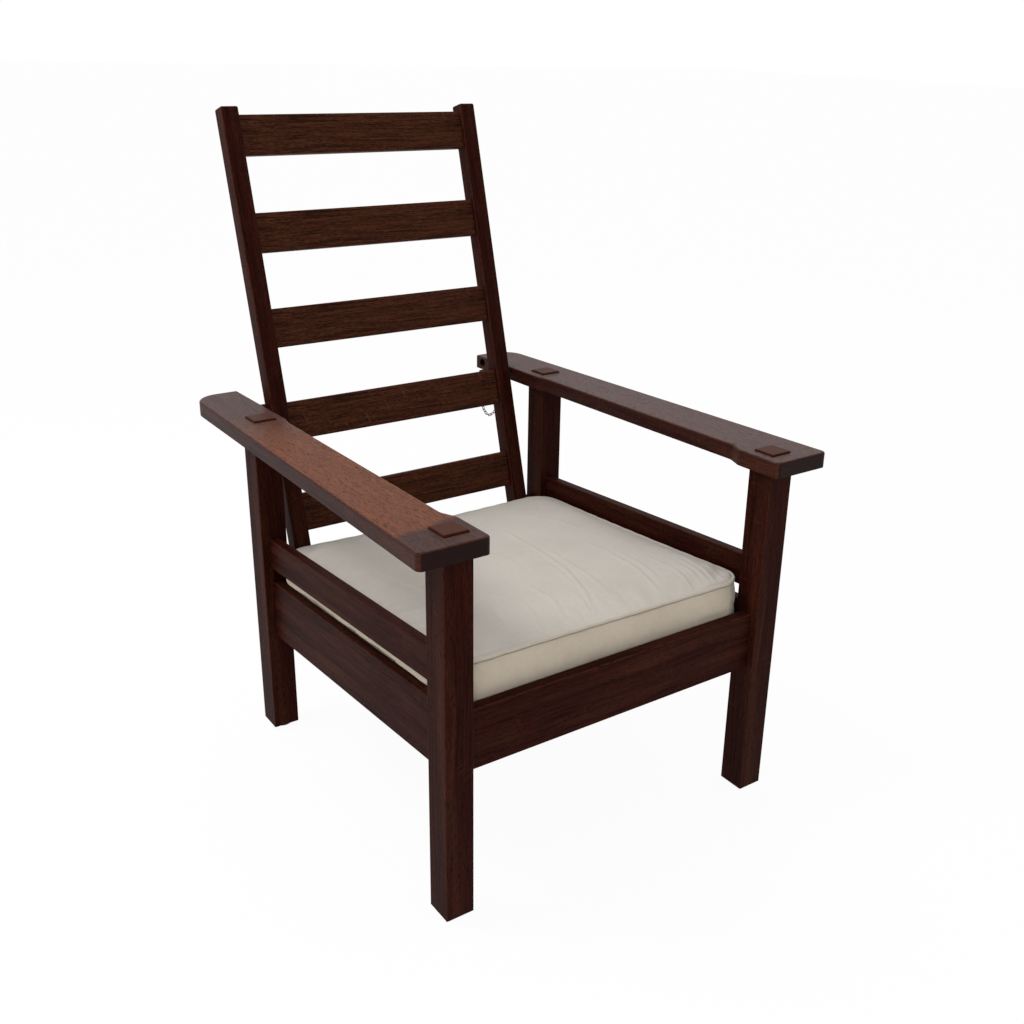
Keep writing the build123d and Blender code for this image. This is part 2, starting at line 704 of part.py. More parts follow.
def cushion_outline(height, inset):
    """Rounded rectangle at a height over the seat, whose sides are drawn in between the corners."""
    half_x = cushion_half_width - inset
    half_y = cushion_half_depth - inset
    flat_x, flat_y = half_x - cushion_corner, half_y - cushion_corner
    bow = cushion_corner * math.sqrt(1 / 2)
    with BuildSketch(cushion_plane.offset(height)) as outline:
        with BuildLine():
            for sign in (1, -1):
                x, y = sign * half_x, sign * half_y
                end_x, end_y = sign * flat_x, sign * flat_y
                corner_x, corner_y = sign * (flat_x + bow), sign * (flat_y + bow)
                ThreePointArc((end_x, -y), (corner_x, -corner_y), (x, -end_y))
                ThreePointArc((x, -end_y), (x - sign * cushion_side_draw, 0), (x, end_y))
                ThreePointArc((x, end_y), (corner_x, corner_y), (end_x, y))
                ThreePointArc((end_x, y), (0, y - sign * cushion_side_draw), (-end_x, y))
        make_face()
    return outline.sketch


# The box from its underside up, as height and inset: the two welts stand out as narrow beads
box_levels = (
    (0, cushion_base_inset),
    (welt_radius, welt_radius),
    (2 * welt_radius, 0),
    (3 * welt_radius, welt_radius),
    (cushion_height - 2 * welt_radius, welt_radius),
    (cushion_height - welt_radius, 0),
    (cushion_height, welt_radius),
)
with BuildPart() as cushion:
    for height, inset in box_levels:
        add(cushion_outline(height, inset))
    loft(ruled=True)
    add(cushion_outline(cushion_height, welt_radius))
    extrude(amount=cushion_crown)
    # The crown is vaulted both ways, and meets the upper welt all round
    for view, half, depth in (
        (side_view(cushion_plane, 0), cushion_half_depth, cushion_half_width),
        (front_view(cushion_plane, 0), cushion_half_width, cushion_half_depth),
    ):
        edge, outside = half - welt_radius, half + cut_over
        (haunch, haunch_height), (shoulder, shoulder_height) = (
            (out_share * half, cushion_height + up_share * cushion_crown)
            for out_share, up_share in crown_shares
        )
        with BuildSketch(view):
            with BuildLine():
                for sign in (1, -1):
                    ThreePointArc(
                        (sign * edge, cushion_height),
                        (sign * haunch, haunch_height),
                        (sign * shoulder, shoulder_height),
                    )
                ThreePointArc(
                    (-shoulder, shoulder_height),
                    (0, cushion_height + cushion_crown),
                    (shoulder, shoulder_height),
                )
                Polyline(
                    (edge, cushion_height),
                    (outside, cushion_height),
                    (outside, -cut_over),
                    (-outside, -cut_over),
                    (-outside, cushion_height),
                    (-edge, cushion_height),
                )
            make_face()
        extrude(amount=depth + cut_over, both=True, mode=Mode.INTERSECT)
save(cushion.part, "cushion")
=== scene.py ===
import math

import bpy
import numpy as np
from bpy.props import FloatProperty, FloatVectorProperty, IntProperty, PointerProperty
from mathutils import Euler, Matrix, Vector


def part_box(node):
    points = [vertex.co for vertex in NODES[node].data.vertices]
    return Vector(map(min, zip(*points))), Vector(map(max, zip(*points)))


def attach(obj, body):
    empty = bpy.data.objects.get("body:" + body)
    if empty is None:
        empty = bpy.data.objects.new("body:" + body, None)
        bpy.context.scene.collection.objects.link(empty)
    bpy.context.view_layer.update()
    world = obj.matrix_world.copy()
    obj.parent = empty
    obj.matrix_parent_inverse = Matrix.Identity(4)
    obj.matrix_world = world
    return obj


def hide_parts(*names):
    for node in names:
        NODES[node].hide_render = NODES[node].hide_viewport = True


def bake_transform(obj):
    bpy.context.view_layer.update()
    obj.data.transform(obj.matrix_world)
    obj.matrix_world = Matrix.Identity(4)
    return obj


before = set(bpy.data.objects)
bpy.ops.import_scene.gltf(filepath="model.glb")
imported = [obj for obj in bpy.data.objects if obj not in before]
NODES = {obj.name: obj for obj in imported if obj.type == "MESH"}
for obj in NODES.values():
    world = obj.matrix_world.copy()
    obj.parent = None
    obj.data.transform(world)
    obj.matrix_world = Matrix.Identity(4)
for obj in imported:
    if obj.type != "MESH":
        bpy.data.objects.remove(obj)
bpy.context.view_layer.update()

bl_info = {
    "name": "Mission Reclining Armchair",
    "version": (1, 0, 0),
    "blender": (4, 5, 0),
    "location": "3D View > Sidebar > Armchair",
    "description": "Dresses an oak armchair with a reclining back: wood, cushion, chained pegs and stage",
    "category": "Add Mesh",
}

SIDES = (("left", 1), ("right", -1))
ENDS = ("front", "rear")


def direction(degrees):
    """Unit vector in the chair's middle plane, turned from upright towards the rear by that angle."""
    return np.array([0.0, math.sin(math.radians(degrees)), math.cos(math.radians(degrees))])


# Every place is in millimetres in the frame of the solids, and becomes metres in make_piece.
ACROSS = np.array([1.0, 0.0, 0.0])
UPRIGHT = direction(0)
MILLIMETRE = (0.001, 0.001, 0.001)

# Leans from upright, in degrees: of the legs and arms, of the seat, and of the back at rest
BENCH_LEAN, SEAT_LEAN, BACK_LEAN = 2.0, 4.75, 16.8

# The cushion lies on the seat: its heights are measured from the seat's middle, square to the seat
SEAT_MIDDLE = np.array([0.0, -104.248, 255.157])
SEAT_REARWARD = np.cross(direction(SEAT_LEAN), ACROSS)
SEAT_AXES = np.stack([ACROSS, SEAT_REARWARD, direction(SEAT_LEAN)])
CUSHION_HALF = np.array([268.0, 264.8])
CUSHION_HEIGHT = 91.0
BASE_INSET = 19.0

# Heights of the gap between the lower and the upper side rails, and how far out their inner faces lie
RAIL_GAP = (47.6, 69.4)
RAIL_INNER = 272.5

# Inner faces of the front legs, and how far back those legs reach past the front of the cushion
LEG_INNER, LEG_DEPTH = 258.5, 13.2

# Centres of the sitter's left screw eyes, and of the glides' soles
PEG_EYE_CENTRE = (190.4, 281.532, 537.471)
ARM_EYE_CENTRE = (263.0, 302.719, 519.320)
GLIDE_PLACES = ((280.5, -387.616), (-280.5, -387.616), (280.5, 174.042), (-280.5, 174.042))


def srgb(code):
    """Linear red, green, blue and full alpha of a six-digit sRGB colour, by the standard's two-part curve."""
    value = np.array([int(code[i : i + 2], 16) for i in (1, 3, 5)]) / 255
    linear = np.where(value <= 0.04045, value / 12.92, ((value + 0.055) / 1.055) ** 2.4)
    return (*linear.tolist(), 1.0)


def colour(name, code, description):
    """A colour property whose default is the sRGB code."""
    return FloatVectorProperty(
        name=name, description=description, subtype="COLOR", size=4, min=0.0, max=1.0, default=srgb(code)
    )


def length(name, millimetres, description):
    """A length property, given in millimetres and kept in metres."""
    return FloatProperty(
        name=name, description=description, subtype="DISTANCE", unit="LENGTH", default=millimetres / 1000
    )


def number(name, value, description):
    """A property that is a plain number."""
    return FloatProperty(name=name, description=description, default=value)


class OakSettings(bpy.types.PropertyGroup):
    dark: colour("Dark grain", "#140605", "Colour of the dark grain lines and of the pores")
    body: colour("Wood", "#34120b", "Colour between the grain lines")
    slat: colour("Back slat", "#4b2a1b", "Browner colour of the back slats between the grain lines")
    light: colour("Light grain", "#4c291c", "Colour of the pale bands of the grain and of rubbed edges")
    fleck: colour("Ray fleck", "#6b4230", "Colour of the pale flecks of quarter-sawn boards")
    worn: colour("Worn arm", "#794831", "Colour where hands have rubbed the arms")
    # Painted sheen: upward faces are mixed towards this grey, which stands in for the room's reflection on
    # the waxed tops, and partly for old wax gone grey
    painted_sheen_wax_colour: colour("Dull top", "#695450", "Greyed colour of the old wax on level surfaces")
    tenon: colour("End grain", "#50342b", "Colour of the end grain, as on the tenons through the arms")
    streak: length("Grain line width", 2.6, "Width of one grain line across the board")
    streak_run: length("Grain line length", 150.0, "Length of one grain line along the board")
    pore: length("Pore width", 0.9, "Width of one open pore, drawn as coarse as it needs to show")
    pore_run: length("Pore length", 11.0, "Length of one open pore")


class SeatFrameSettings(bpy.types.PropertyGroup):
    body: colour("Seat wood", "#7a5c40", "Colour of the unfinished slats and cleats under the cushion")
    grain: colour("Seat wood grain", "#5a412c", "Colour of their grain lines")


class CushionSettings(bpy.types.PropertyGroup):
    top: colour("Top panel", "#bdb6ad", "Colour of the cushion's upper panel")
    boxing: colour("Boxing", "#c1b5a3", "Colour of the band round the cushion's sides")
    thread: length("Thread", 0.9, "Spacing of the threads, drawn coarser than cotton duck so that it shows")
    crown: length("Crown", 11.0, "Rise of the middle of the top panel above its welt")
    corner: length("Corner radius", 40.0, "Radius of the cushion's corners seen from above")
    draw: length("Side draw", 3.0, "How far the middle of each side is drawn in")
    bulge: length("Side bulge", 2.2, "How far the filling pushes the boxing out")
    squeeze: length("Side squeeze", 11.0, "How far the sides swell out in the gap between the side rails")
    plump: length("Plump side", 6.0, "How much higher the fuller side stands, on the sitter's right")
    welt: length("Welt radius", 3.2, "Radius of the piped welts")
    pressure: number("Filling pressure", 3.0, "Pressure of the filling in the cloth simulation")
    spare: number("Spare cloth", 0.012, "Share by which the cloth is cut too large")
    panel: IntProperty(name="Panel divisions", description="Squares along each side of a panel", default=94)


class HardwareSettings(bpy.types.PropertyGroup):
    steel: colour("Steel", "#7d7873", "Colour of the bolts, screws, chains and screw eyes")
    tarnish: colour("Tarnish", "#3a322c", "Colour of their dark patches")
    # Painted shade: the glides get this dark colour because they stand in the shadow under the legs, not
    # because their steel is so dark
    glide: colour("Glide", "#4b4540", "Colour of the glides, tarnished dark")
    wire: length("Link wire radius", 0.65, "Radius of the wire of a chain link")
    link: length("Link length", 9.1, "Length of a link between the middles of its ends")
    link_width: length("Link width", 4.3, "Width of a link between the middles of its sides")
    pitch: length("Link pitch", 7.2, "Distance from one link to the next")
    count: IntProperty(name="Links", description="Links of each chain", default=25)
    eye: length("Eye radius", 3.6, "Radius of the ring of a screw eye")
    eye_wire: length("Eye wire radius", 0.9, "Radius of the wire of a screw eye")


class StageSettings(bpy.types.PropertyGroup):
    floor: colour("Floor", "#f4f3f1", "Colour of the plain floor")
    whiteness: number("Whiteness", 0.95, "Share of plain white in the floor where it is seen")
    overhead: number("Overhead lamp", 26.0, "Power of the lamp overhead, in watts")
    front: number("Front lamp", 24.0, "Power of the lamp in front, in watts")
    sky_near: number("Room light, front", 0.32, "Strength of the room's light from the front")
    sky_far: number("Room light, rear", 1.0, "Strength of the room's light from behind, where 1 is white")
    lens: number("Lens", 40.474, "Focal length in millimetres")


# Nodes and meshes


def add_node(tree, kind, inputs=(), **settings):
    """Adds a shader node with those properties, and gives its inputs values or other nodes' outputs.

    inputs holds them in order, or as a dictionary by name or number. Returns the node's outputs.
    """
    node = tree.nodes.new("ShaderNode" + kind)
    for key, value in settings.items():
        setattr(node, key, value)
    for key, value in inputs.items() if isinstance(inputs, dict) else enumerate(inputs):
        if isinstance(value, bpy.types.NodeSocket):
            tree.links.new(value, node.inputs[key])
        else:
            node.inputs[key].default_value = value
    return node.outputs


def new_material(name):
    """An empty node material and its tree."""
    material = bpy.data.materials.new(name)
    material.use_nodes = True
    material.node_tree.nodes.clear()
    return material, material.node_tree


def turned_axes(tree, source, turn, centre=(0.0, 0.0, 0.0), unit=(1.0, 1.0, 1.0)):
    """A texture coordinate of the object, taken from a centre along turned axes in a unit for each."""
    place = add_node(tree, "TexCoord")[source]
    return add_node(tree, "Mapping", (place, centre, turn, unit), vector_type="TEXTURE")[0]


def long_lumps(tree, place, sizes, detail, roughness=0.5):
    """Outputs of a noise whose lumps have those sizes along the three axes."""
    scaled = add_node(tree, "VectorMath", (place, [1 / size for size in sizes]), operation="MULTIPLY")[0]
    inputs = {"Vector": scaled, "Scale": 1.0, "Detail": detail, "Roughness": roughness}
    return add_node(tree, "TexNoise", inputs)


def grid_faces(index):
    """Quads between neighbours of a 2-D array of vertex numbers, wound rows first."""
    return np.stack([index[:-1, :-1], index[1:, :-1], index[1:, 1:], index[:-1, 1:]], axis=-1).reshape(-1, 4)


def add_object(name, data):
    """A new object with that data, in the scene."""
    thing = bpy.data.objects.new(name, data)
    bpy.context.scene.collection.objects.link(thing)
    return thing


def make_piece(name, points, faces, material, body):
    """A smooth mesh object at the origin from points in millimetres, which rides on a body."""
    mesh = bpy.data.meshes.new(name)
    mesh.from_pydata((np.reshape(points, (-1, 3)) / 1000).tolist(), [], np.asarray(faces).tolist())
    mesh.polygons.foreach_set("use_smooth", np.ones(len(mesh.polygons), dtype=bool))
    mesh.materials.append(material)
    mesh.update()
    piece = add_object(name, mesh)
    if body:
        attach(piece, body)
    return piece


def tube(centres, outward, sideways, radius, sides):
    """Closed tubes: circles of that radius about each centre, in the plane of two unit vectors.

    centres has shape (tubes, steps, 3), and outward and sideways have that or a part of it from the end.
    Returns the points and the quads, closed both ways.
    """
    angle = np.linspace(0, 2 * math.pi, sides, endpoint=False)[:, None]
    ring = np.cos(angle) * outward[..., None, :] + np.sin(angle) * sideways[..., None, :]
    points = centres[..., None, :] + radius * ring
    tubes, steps = centres.shape[:2]
    index = np.arange(tubes * steps * sides).reshape(tubes, steps, sides)
    index = np.concatenate([index, index[:, :1]], axis=1)
    index = np.concatenate([index, index[:, :, :1]], axis=2)
    return points, np.concatenate([grid_faces(one) for one in index])


def lathe(centre, axis, profile, sides):
    """Surface of revolution of (radius, distance along the axis) pairs, from axis to axis."""
    axis = np.asarray(axis, dtype=float)
    first = np.cross(axis, ACROSS if abs(axis[0]) < 0.9 else UPRIGHT)
    first /= np.linalg.norm(first)
    second = np.cross(axis, first)
    angle = np.linspace(0, 2 * math.pi, sides, endpoint=False)[None, :, None]
    radius, along = np.asarray(profile, dtype=float).T[:, :, None, None]
    points = np.asarray(centre) + along * axis + radius * (np.cos(angle) * first + np.sin(angle) * second)
    index = np.arange(len(profile) * sides).reshape(len(profile), sides)
    return points.reshape(-1, 3), grid_faces(np.concatenate([index, index[:, :1]], axis=1))


# Oak

# Sizes of the oak's figure in millimetres: along the grain, across it and out of the face. The flecks'
# are along and across their slant.
WANDER_SIZE, WANDER_REACH = (260, 60, 60), 26.0
BAND_SIZE = (420, 24, 24)
FLECK_SIZE, FLECK_SLANT = (30, 3.0, 30), math.radians(-66)
PATCH_SIZE = (70, 34, 34)

# Values of a noise between which a part of the figure comes in
STREAK_RANGE, BAND_RANGE, PORE_RANGE = (0.31, 0.60), (0.46, 0.72), (0.53, 0.64)
FLECK_RANGE, PATCH_RANGE, RUBBED_RANGE = (0.54, 0.72), (0.46, 0.66), (0.34, 0.62)

# Cosines to a board's axis between which its edges, its end grain and its upper face begin
EDGE_RANGE, END_RANGE, UPPER_RANGE = (0.995, 0.86), (0.8, 0.95), (0.6, 0.95)

# Where the worn stretch fades in and out, in millimetres past its two ends, with a ragged border
WORN_IN, WORN_OUT, RAGGED = (24, 34), (120, -40), 60.0


def board_turn(grain, face):
    """Euler angles that turn board axes to the chair: X along the grain, Z out of the wide face."""
    grain = np.asarray(grain, dtype=float)
    side = np.cross(face, grain)
    return Matrix(np.stack([grain, side, np.cross(grain, side)], axis=1).tolist()).to_euler()


def fumed_oak(
    name, oak, grain, face, centre, tone=1.0, figure=0.12, worn=(), wax_and_painted_sheen=0.0, gloss=0.02, body=None, end=None
):
    """Fumed quarter-sawn white oak, planed, waxed and rubbed by use.

    It gives fine dark grain lines along the board, short open pores, pale slanted ray flecks, a matt end
    grain and edges rubbed a little paler. figure is the strength of the flecks, worn is the stretch along
    the board, in millimetres from its centre, where hands have rubbed the top to a warmer brown, and dull
    is how strongly the upper faces are greyed: a painted sheen standing in for the room's reflection on the
    waxed top, partly old wax gone grey. gloss is how much the wax shines. body and end are the colours
    between the grain lines and on the end grain, where they aren't the usual ones.
    """
    material, tree = new_material(name)
    turn = board_turn(grain, face)
    board = turned_axes(tree, "Object", turn, [value / 1000 for value in centre], MILLIMETRE)
    facing = turned_axes(tree, "Normal", turn)

    # The grain wanders slowly across the board
    wander = long_lumps(tree, board, WANDER_SIZE, 1.0)
    inputs = (wander["Color"], (0.0, WANDER_REACH, WANDER_REACH), board)
    wood = add_node(tree, "VectorMath", inputs, operation="MULTIPLY_ADD")[0]
    width, run = oak.streak * 1000, oak.streak_run * 1000
    streaks = long_lumps(tree, wood, (run, width, width), 4.0, 0.62)[0]
    bands = long_lumps(tree, wood, BAND_SIZE, 3.0)[0]
    width, run = oak.pore * 1000, oak.pore_run * 1000
    pores = long_lumps(tree, wood, (run, width, width), 1.0)[0]
    pores = add_node(tree, "MapRange", (pores, *PORE_RANGE))[0]

    # Ray flecks lie in patches, nearly across the grain
    inputs = {"Vector": board, "Rotation": (0.0, 0.0, FLECK_SLANT)}
    slanted = add_node(tree, "Mapping", inputs, vector_type="POINT")[0]
    fleck = add_node(tree, "MapRange", (long_lumps(tree, slanted, FLECK_SIZE, 2.0)[0], *FLECK_RANGE))[0]
    patch = add_node(tree, "MapRange", (long_lumps(tree, board, PATCH_SIZE, 1.0)[0], *PATCH_RANGE))[0]
    flecks = add_node(tree, "Math", (fleck, patch), operation="MULTIPLY")[0]

    # How squarely a point faces one of the board's axes: edges and corners face none of them
    size = add_node(tree, "VectorMath", (facing,), operation="ABSOLUTE")[0]
    along, across, out = add_node(tree, "SeparateXYZ", (size,))
    squarely = add_node(tree, "Math", (along, across), operation="MAXIMUM")[0]
    squarely = add_node(tree, "Math", (squarely, out), operation="MAXIMUM")[0]
    upward = add_node(tree, "SeparateXYZ", (facing,))[2]
    upward = add_node(tree, "MapRange", (upward, *UPPER_RANGE))[0]

    dark, pale = ([*(value * tone for value in one[:3]), 1.0] for one in (oak.dark, body or oak.body))
    lines = add_node(tree, "MapRange", (streaks, *STREAK_RANGE))[0]
    paint = add_node(tree, "Mix", {0: lines, 6: dark, 7: pale}, data_type="RGBA")[2]
    layers = [
        (add_node(tree, "MapRange", (bands, *BAND_RANGE, 0.0, 0.5))[0], oak.light),
        (add_node(tree, "Math", (flecks, figure), operation="MULTIPLY")[0], oak.fleck),
    ]
    # Painted sheen: upward faces are mixed towards a grey, standing in for the room's reflection on the waxed
    # top, partly old wax gone grey
    if wax_and_painted_sheen:
        layers.append((add_node(tree, "Math", (upward, wax_and_painted_sheen), operation="MULTIPLY")[0], oak.painted_sheen_wax_colour))
    if worn:
        first, last = worn
        ragged = (wander[0], RAGGED, add_node(tree, "SeparateXYZ", (board,))[0])
        ragged = add_node(tree, "Math", ragged, operation="MULTIPLY_ADD")[0]
        after = add_node(tree, "MapRange", (ragged, *(first + one for one in WORN_IN)))[0]
        before = add_node(tree, "MapRange", (ragged, *(last + one for one in WORN_OUT)))[0]
        rubbed = add_node(tree, "Math", (after, before), operation="MULTIPLY")[0]
        rubbed = add_node(tree, "Math", (rubbed, upward), operation="MULTIPLY")[0]
        lines = add_node(tree, "MapRange", (streaks, *RUBBED_RANGE, 0.45, 0.95))[0]
        layers.append((add_node(tree, "Math", (rubbed, lines), operation="MULTIPLY")[0], oak.worn))
    layers += [
        (add_node(tree, "MapRange", (squarely, *EDGE_RANGE, 0.0, 0.5))[0], oak.light),
        (add_node(tree, "Math", (pores, 0.75), operation="MULTIPLY")[0], oak.dark),
        (add_node(tree, "MapRange", (along, *END_RANGE, 0.0, 0.8))[0], end or oak.tenon),
    ]
    for share, layer in layers:
        paint = add_node(tree, "Mix", {0: share, 6: paint, 7: layer}, data_type="RGBA")[2]

    relief = add_node(tree, "Math", (pores, -1.0, streaks), operation="MULTIPLY_ADD")[0]
    surface = add_node(tree, "BsdfPrincipled", {
        "Base Color": paint,
        "Roughness": add_node(tree, "MapRange", (streaks, 0.0, 1.0, 0.50, 0.36))[0],
        "Normal": add_node(tree, "Bump", {"Height": relief, "Strength": 0.6, "Distance": 0.00015})[0],
        "Specular IOR Level": gloss,
    })
    add_node(tree, "OutputMaterial", surface)
    return material


def dress(node, material):
    """Gives a CAD node's slots the material."""
    for place in NODES[node].material_slots:
        place.material = material


def middle(node):
    """Middle of a node's box in millimetres."""
    low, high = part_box(node)
    return [500 * (a + b) for a, b in zip(low, high)]


class ARMCHAIR_OT_dress_oak(bpy.types.Operator):
    """Gives the arms, legs, rails, posts, slats, pegs and spacers their fumed oak"""

    bl_idname = "armchair.dress_oak"
    bl_label = "Dress Oak"

    def execute(self, context):
        oak = context.scene.armchair_oak
        bench_up, seat_up, back_up = direction(BENCH_LEAN), direction(SEAT_LEAN), direction(BACK_LEAN)
        bench_back, seat_back, back_out = (np.cross(up, ACROSS) for up in (bench_up, seat_up, back_up))

        # The sitter's right arm is rubbed warm between its tenons. Both tops also get a painted grey sheen,
        # partly old wax gone grey, the left one more strongly
        wear = {"left": {"wax_and_painted_sheen": 0.6}, "right": {"worn": (-327.0, 150.0), "wax_and_painted_sheen": 0.33}}
        boards = []
        for side, sign in SIDES:
            arm = {"figure": 0.15, "gloss": 0.07, "end": oak.dark, **wear[side]}
            boards.append((f"arm_{side}", bench_back, bench_up, arm))
            for stem, grain, face, tone in (
                ("leg_front", bench_up, bench_back, 0.95),
                ("leg_rear", bench_up, bench_back, 0.85),
                ("side_rail", seat_back, ACROSS, 0.9),
                ("upper_rail", seat_back, ACROSS, 0.95),
                ("back_post", back_up, back_out, 1.0),
                ("peg", ACROSS, bench_up, 0.9),
                ("pivot_spacer", ACROSS, bench_up, 0.9),
            ):
                boards.append((f"{stem}_{side}", grain, face, {"tone": tone}))
        for name in ("front_rail", "rear_rail"):
            boards.append((name, ACROSS, bench_back, {}))
        for n, figure in enumerate((0.2, 0.2, 0.2, 0.5, 0.3), start=1):
            boards.append((f"back_slat_{n}", ACROSS, back_out, {"figure": figure, "body": oak.slat}))
        for name, grain, face, more in boards:
            dress(name, fumed_oak(name + "_oak", oak, grain, face, middle(name), **more))
        return {"FINISHED"}


class ARMCHAIR_OT_dress_seat_frame(bpy.types.Operator):
    """Gives the slats and cleats under the cushion their unfinished wood"""

    bl_idname = "armchair.dress_seat_frame"
    bl_label = "Dress Seat Frame"

    def execute(self, context):
        settings = context.scene.armchair_seat_frame
        # Sawn, unfinished ash: pale brown with coarse, soft grain and no gloss
        grain_size = (0.14, 0.0035, 0.0035)
        for stem, grain, nodes in (
            ("seat_slat", ACROSS, [f"seat_slat_{n}" for n in range(1, 8)]),
            ("cleat", SEAT_REARWARD, [f"cleat_{side}" for side, sign in SIDES]),
        ):
            material, tree = new_material(stem + "_ash")
            turn = board_turn(grain, direction(SEAT_LEAN))
            board = turned_axes(tree, "Object", turn, unit=grain_size)
            inputs = {"Vector": board, "Scale": 1.0, "Detail": 3.0, "Distortion": 0.4}
            lines = add_node(tree, "TexNoise", inputs)[0]
            share = add_node(tree, "MapRange", (lines, 0.35, 0.6))[0]
            paint = {0: share, 6: settings.grain, 7: settings.body}
            surface = add_node(tree, "BsdfPrincipled", {
                "Base Color": add_node(tree, "Mix", paint, data_type="RGBA")[2],
                "Roughness": 0.8,
                "Normal": add_node(tree, "Bump", {"Height": lines, "Strength": 0.5, "Distance": 0.0003})[0],
                "Specular IOR Level": 0.3,
            })
            add_node(tree, "OutputMaterial", surface)
            for node in nodes:
                dress(node, material)
        return {"FINISHED"}


# Cushion


def cotton_duck(name, cushion, tone=1.0):
    """Cream cotton duck, plain woven and washed soft.

    It gives a matt, faintly slubbed cloth of two sets of threads, greyer on the top panel from use and
    creamier on the band round the sides. tone darkens the whole cloth, used to paint the shade in the
    groove beside a welt.
    """
    material, tree = new_material(name)
    turn = Euler((math.radians(-SEAT_LEAN), 0.0, 0.0))
    cloth = turned_axes(tree, "Object", turn, unit=MILLIMETRE)
    facing = turned_axes(tree, "Normal", turn)
    slub_threads = 14
    fine, slub = cushion.thread * 1000, cushion.thread * 1000 * slub_threads
    weave, *threads = (
        long_lumps(tree, cloth, sizes, 1.0)[0]
        for sizes in ((slub, fine, fine), (fine, slub, fine), (fine, fine, slub))
    )
    for thread in threads:
        weave = add_node(tree, "Math", (weave, thread), operation="ADD")[0]
    mottle = long_lumps(tree, cloth, (90, 90, 60), 3.0)[0]
    mottle = add_node(tree, "MapRange", (mottle, 0.3, 0.7, 0.95, 1.03))[0]
    light = add_node(tree, "MapRange", (weave, 1.1, 1.9, 0.93 * tone, 1.05 * tone))[0]
    light = add_node(tree, "Math", (light, mottle), operation="MULTIPLY")[0]
    level = add_node(tree, "SeparateXYZ", (facing,))[2]
    level = add_node(tree, "MapRange", (level, 0.35, 0.85))[0]
    paint = add_node(tree, "Mix", {0: level, 6: cushion.boxing, 7: cushion.top}, data_type="RGBA")[2]
    surface = add_node(tree, "BsdfPrincipled", {
        "Base Color": add_node(tree, "VectorMath", {0: paint, "Scale": light}, operation="SCALE")[0],
        "Roughness": 0.92,
        "Normal": add_node(tree, "Bump", {"Height": weave, "Strength": 0.35, "Distance": 0.0003})[0],
        "Specular IOR Level": 0.2,
        "Sheen Weight": 0.12,
        "Sheen Roughness": 0.5,
    })
    add_node(tree, "OutputMaterial", surface)
    return material


def cushion_outline(u, v, inset, cushion):
    """Points of the cushion's outline for points (u, v) on the edge of a square from -1 to 1.

    The outline is a rounded rectangle: each corner's quarter circle is shared by the two sides that meet
    there, and the middle of each side is drawn in along a parabola.
    """
    half = CUSHION_HALF - inset
    corner = cushion.corner * 1000
    flat = half - corner
    draw = cushion.draw * 1000
    square = np.stack([u, v], axis=-1)
    main = (np.abs(u) < np.abs(v)).astype(int)
    rows = np.arange(len(u))
    other = 1 - main
    sign, run = np.sign(square[rows, main]), square[rows, other] * half[other]
    beyond = np.clip((np.abs(run) - flat[other]) / corner, 0, 1) * math.pi / 4
    straight = 1 - np.clip(np.abs(run) / flat[other], 0, 1) ** 2
    points = np.empty_like(square)
    points[rows, main] = sign * (flat[main] + corner * np.cos(beyond) - draw * straight)
    inside = np.abs(run) <= flat[other]
    points[rows, other] = np.where(inside, run, np.sign(run) * (flat[other] + corner * np.sin(beyond)))
    return points


def crown_height(points, cushion):
    """Height of the top panel over the upper welt's seam at points (x, y) of the seat's plane.

    Each way it is a vault, (1 - s^2.2)^0.65 for s from 0 in the middle to 1 at the seam, and the lower of
    the two vaults holds, blended by a power mean. Beside the seam the panel rises steeply off the welt.
    """
    welt, sharpness = cushion.welt * 1000, 5
    share = np.clip(np.abs(points) / (CUSHION_HALF - welt), 0, 1)
    vault = np.clip(1 - share**2.2, 1e-6, 1) ** 0.65
    mean = (vault[..., 0] ** -sharpness + vault[..., 1] ** -sharpness) ** (-1 / sharpness)
    return cushion.crown * 1000 * np.minimum(mean * 2 ** (1 / sharpness), 1)


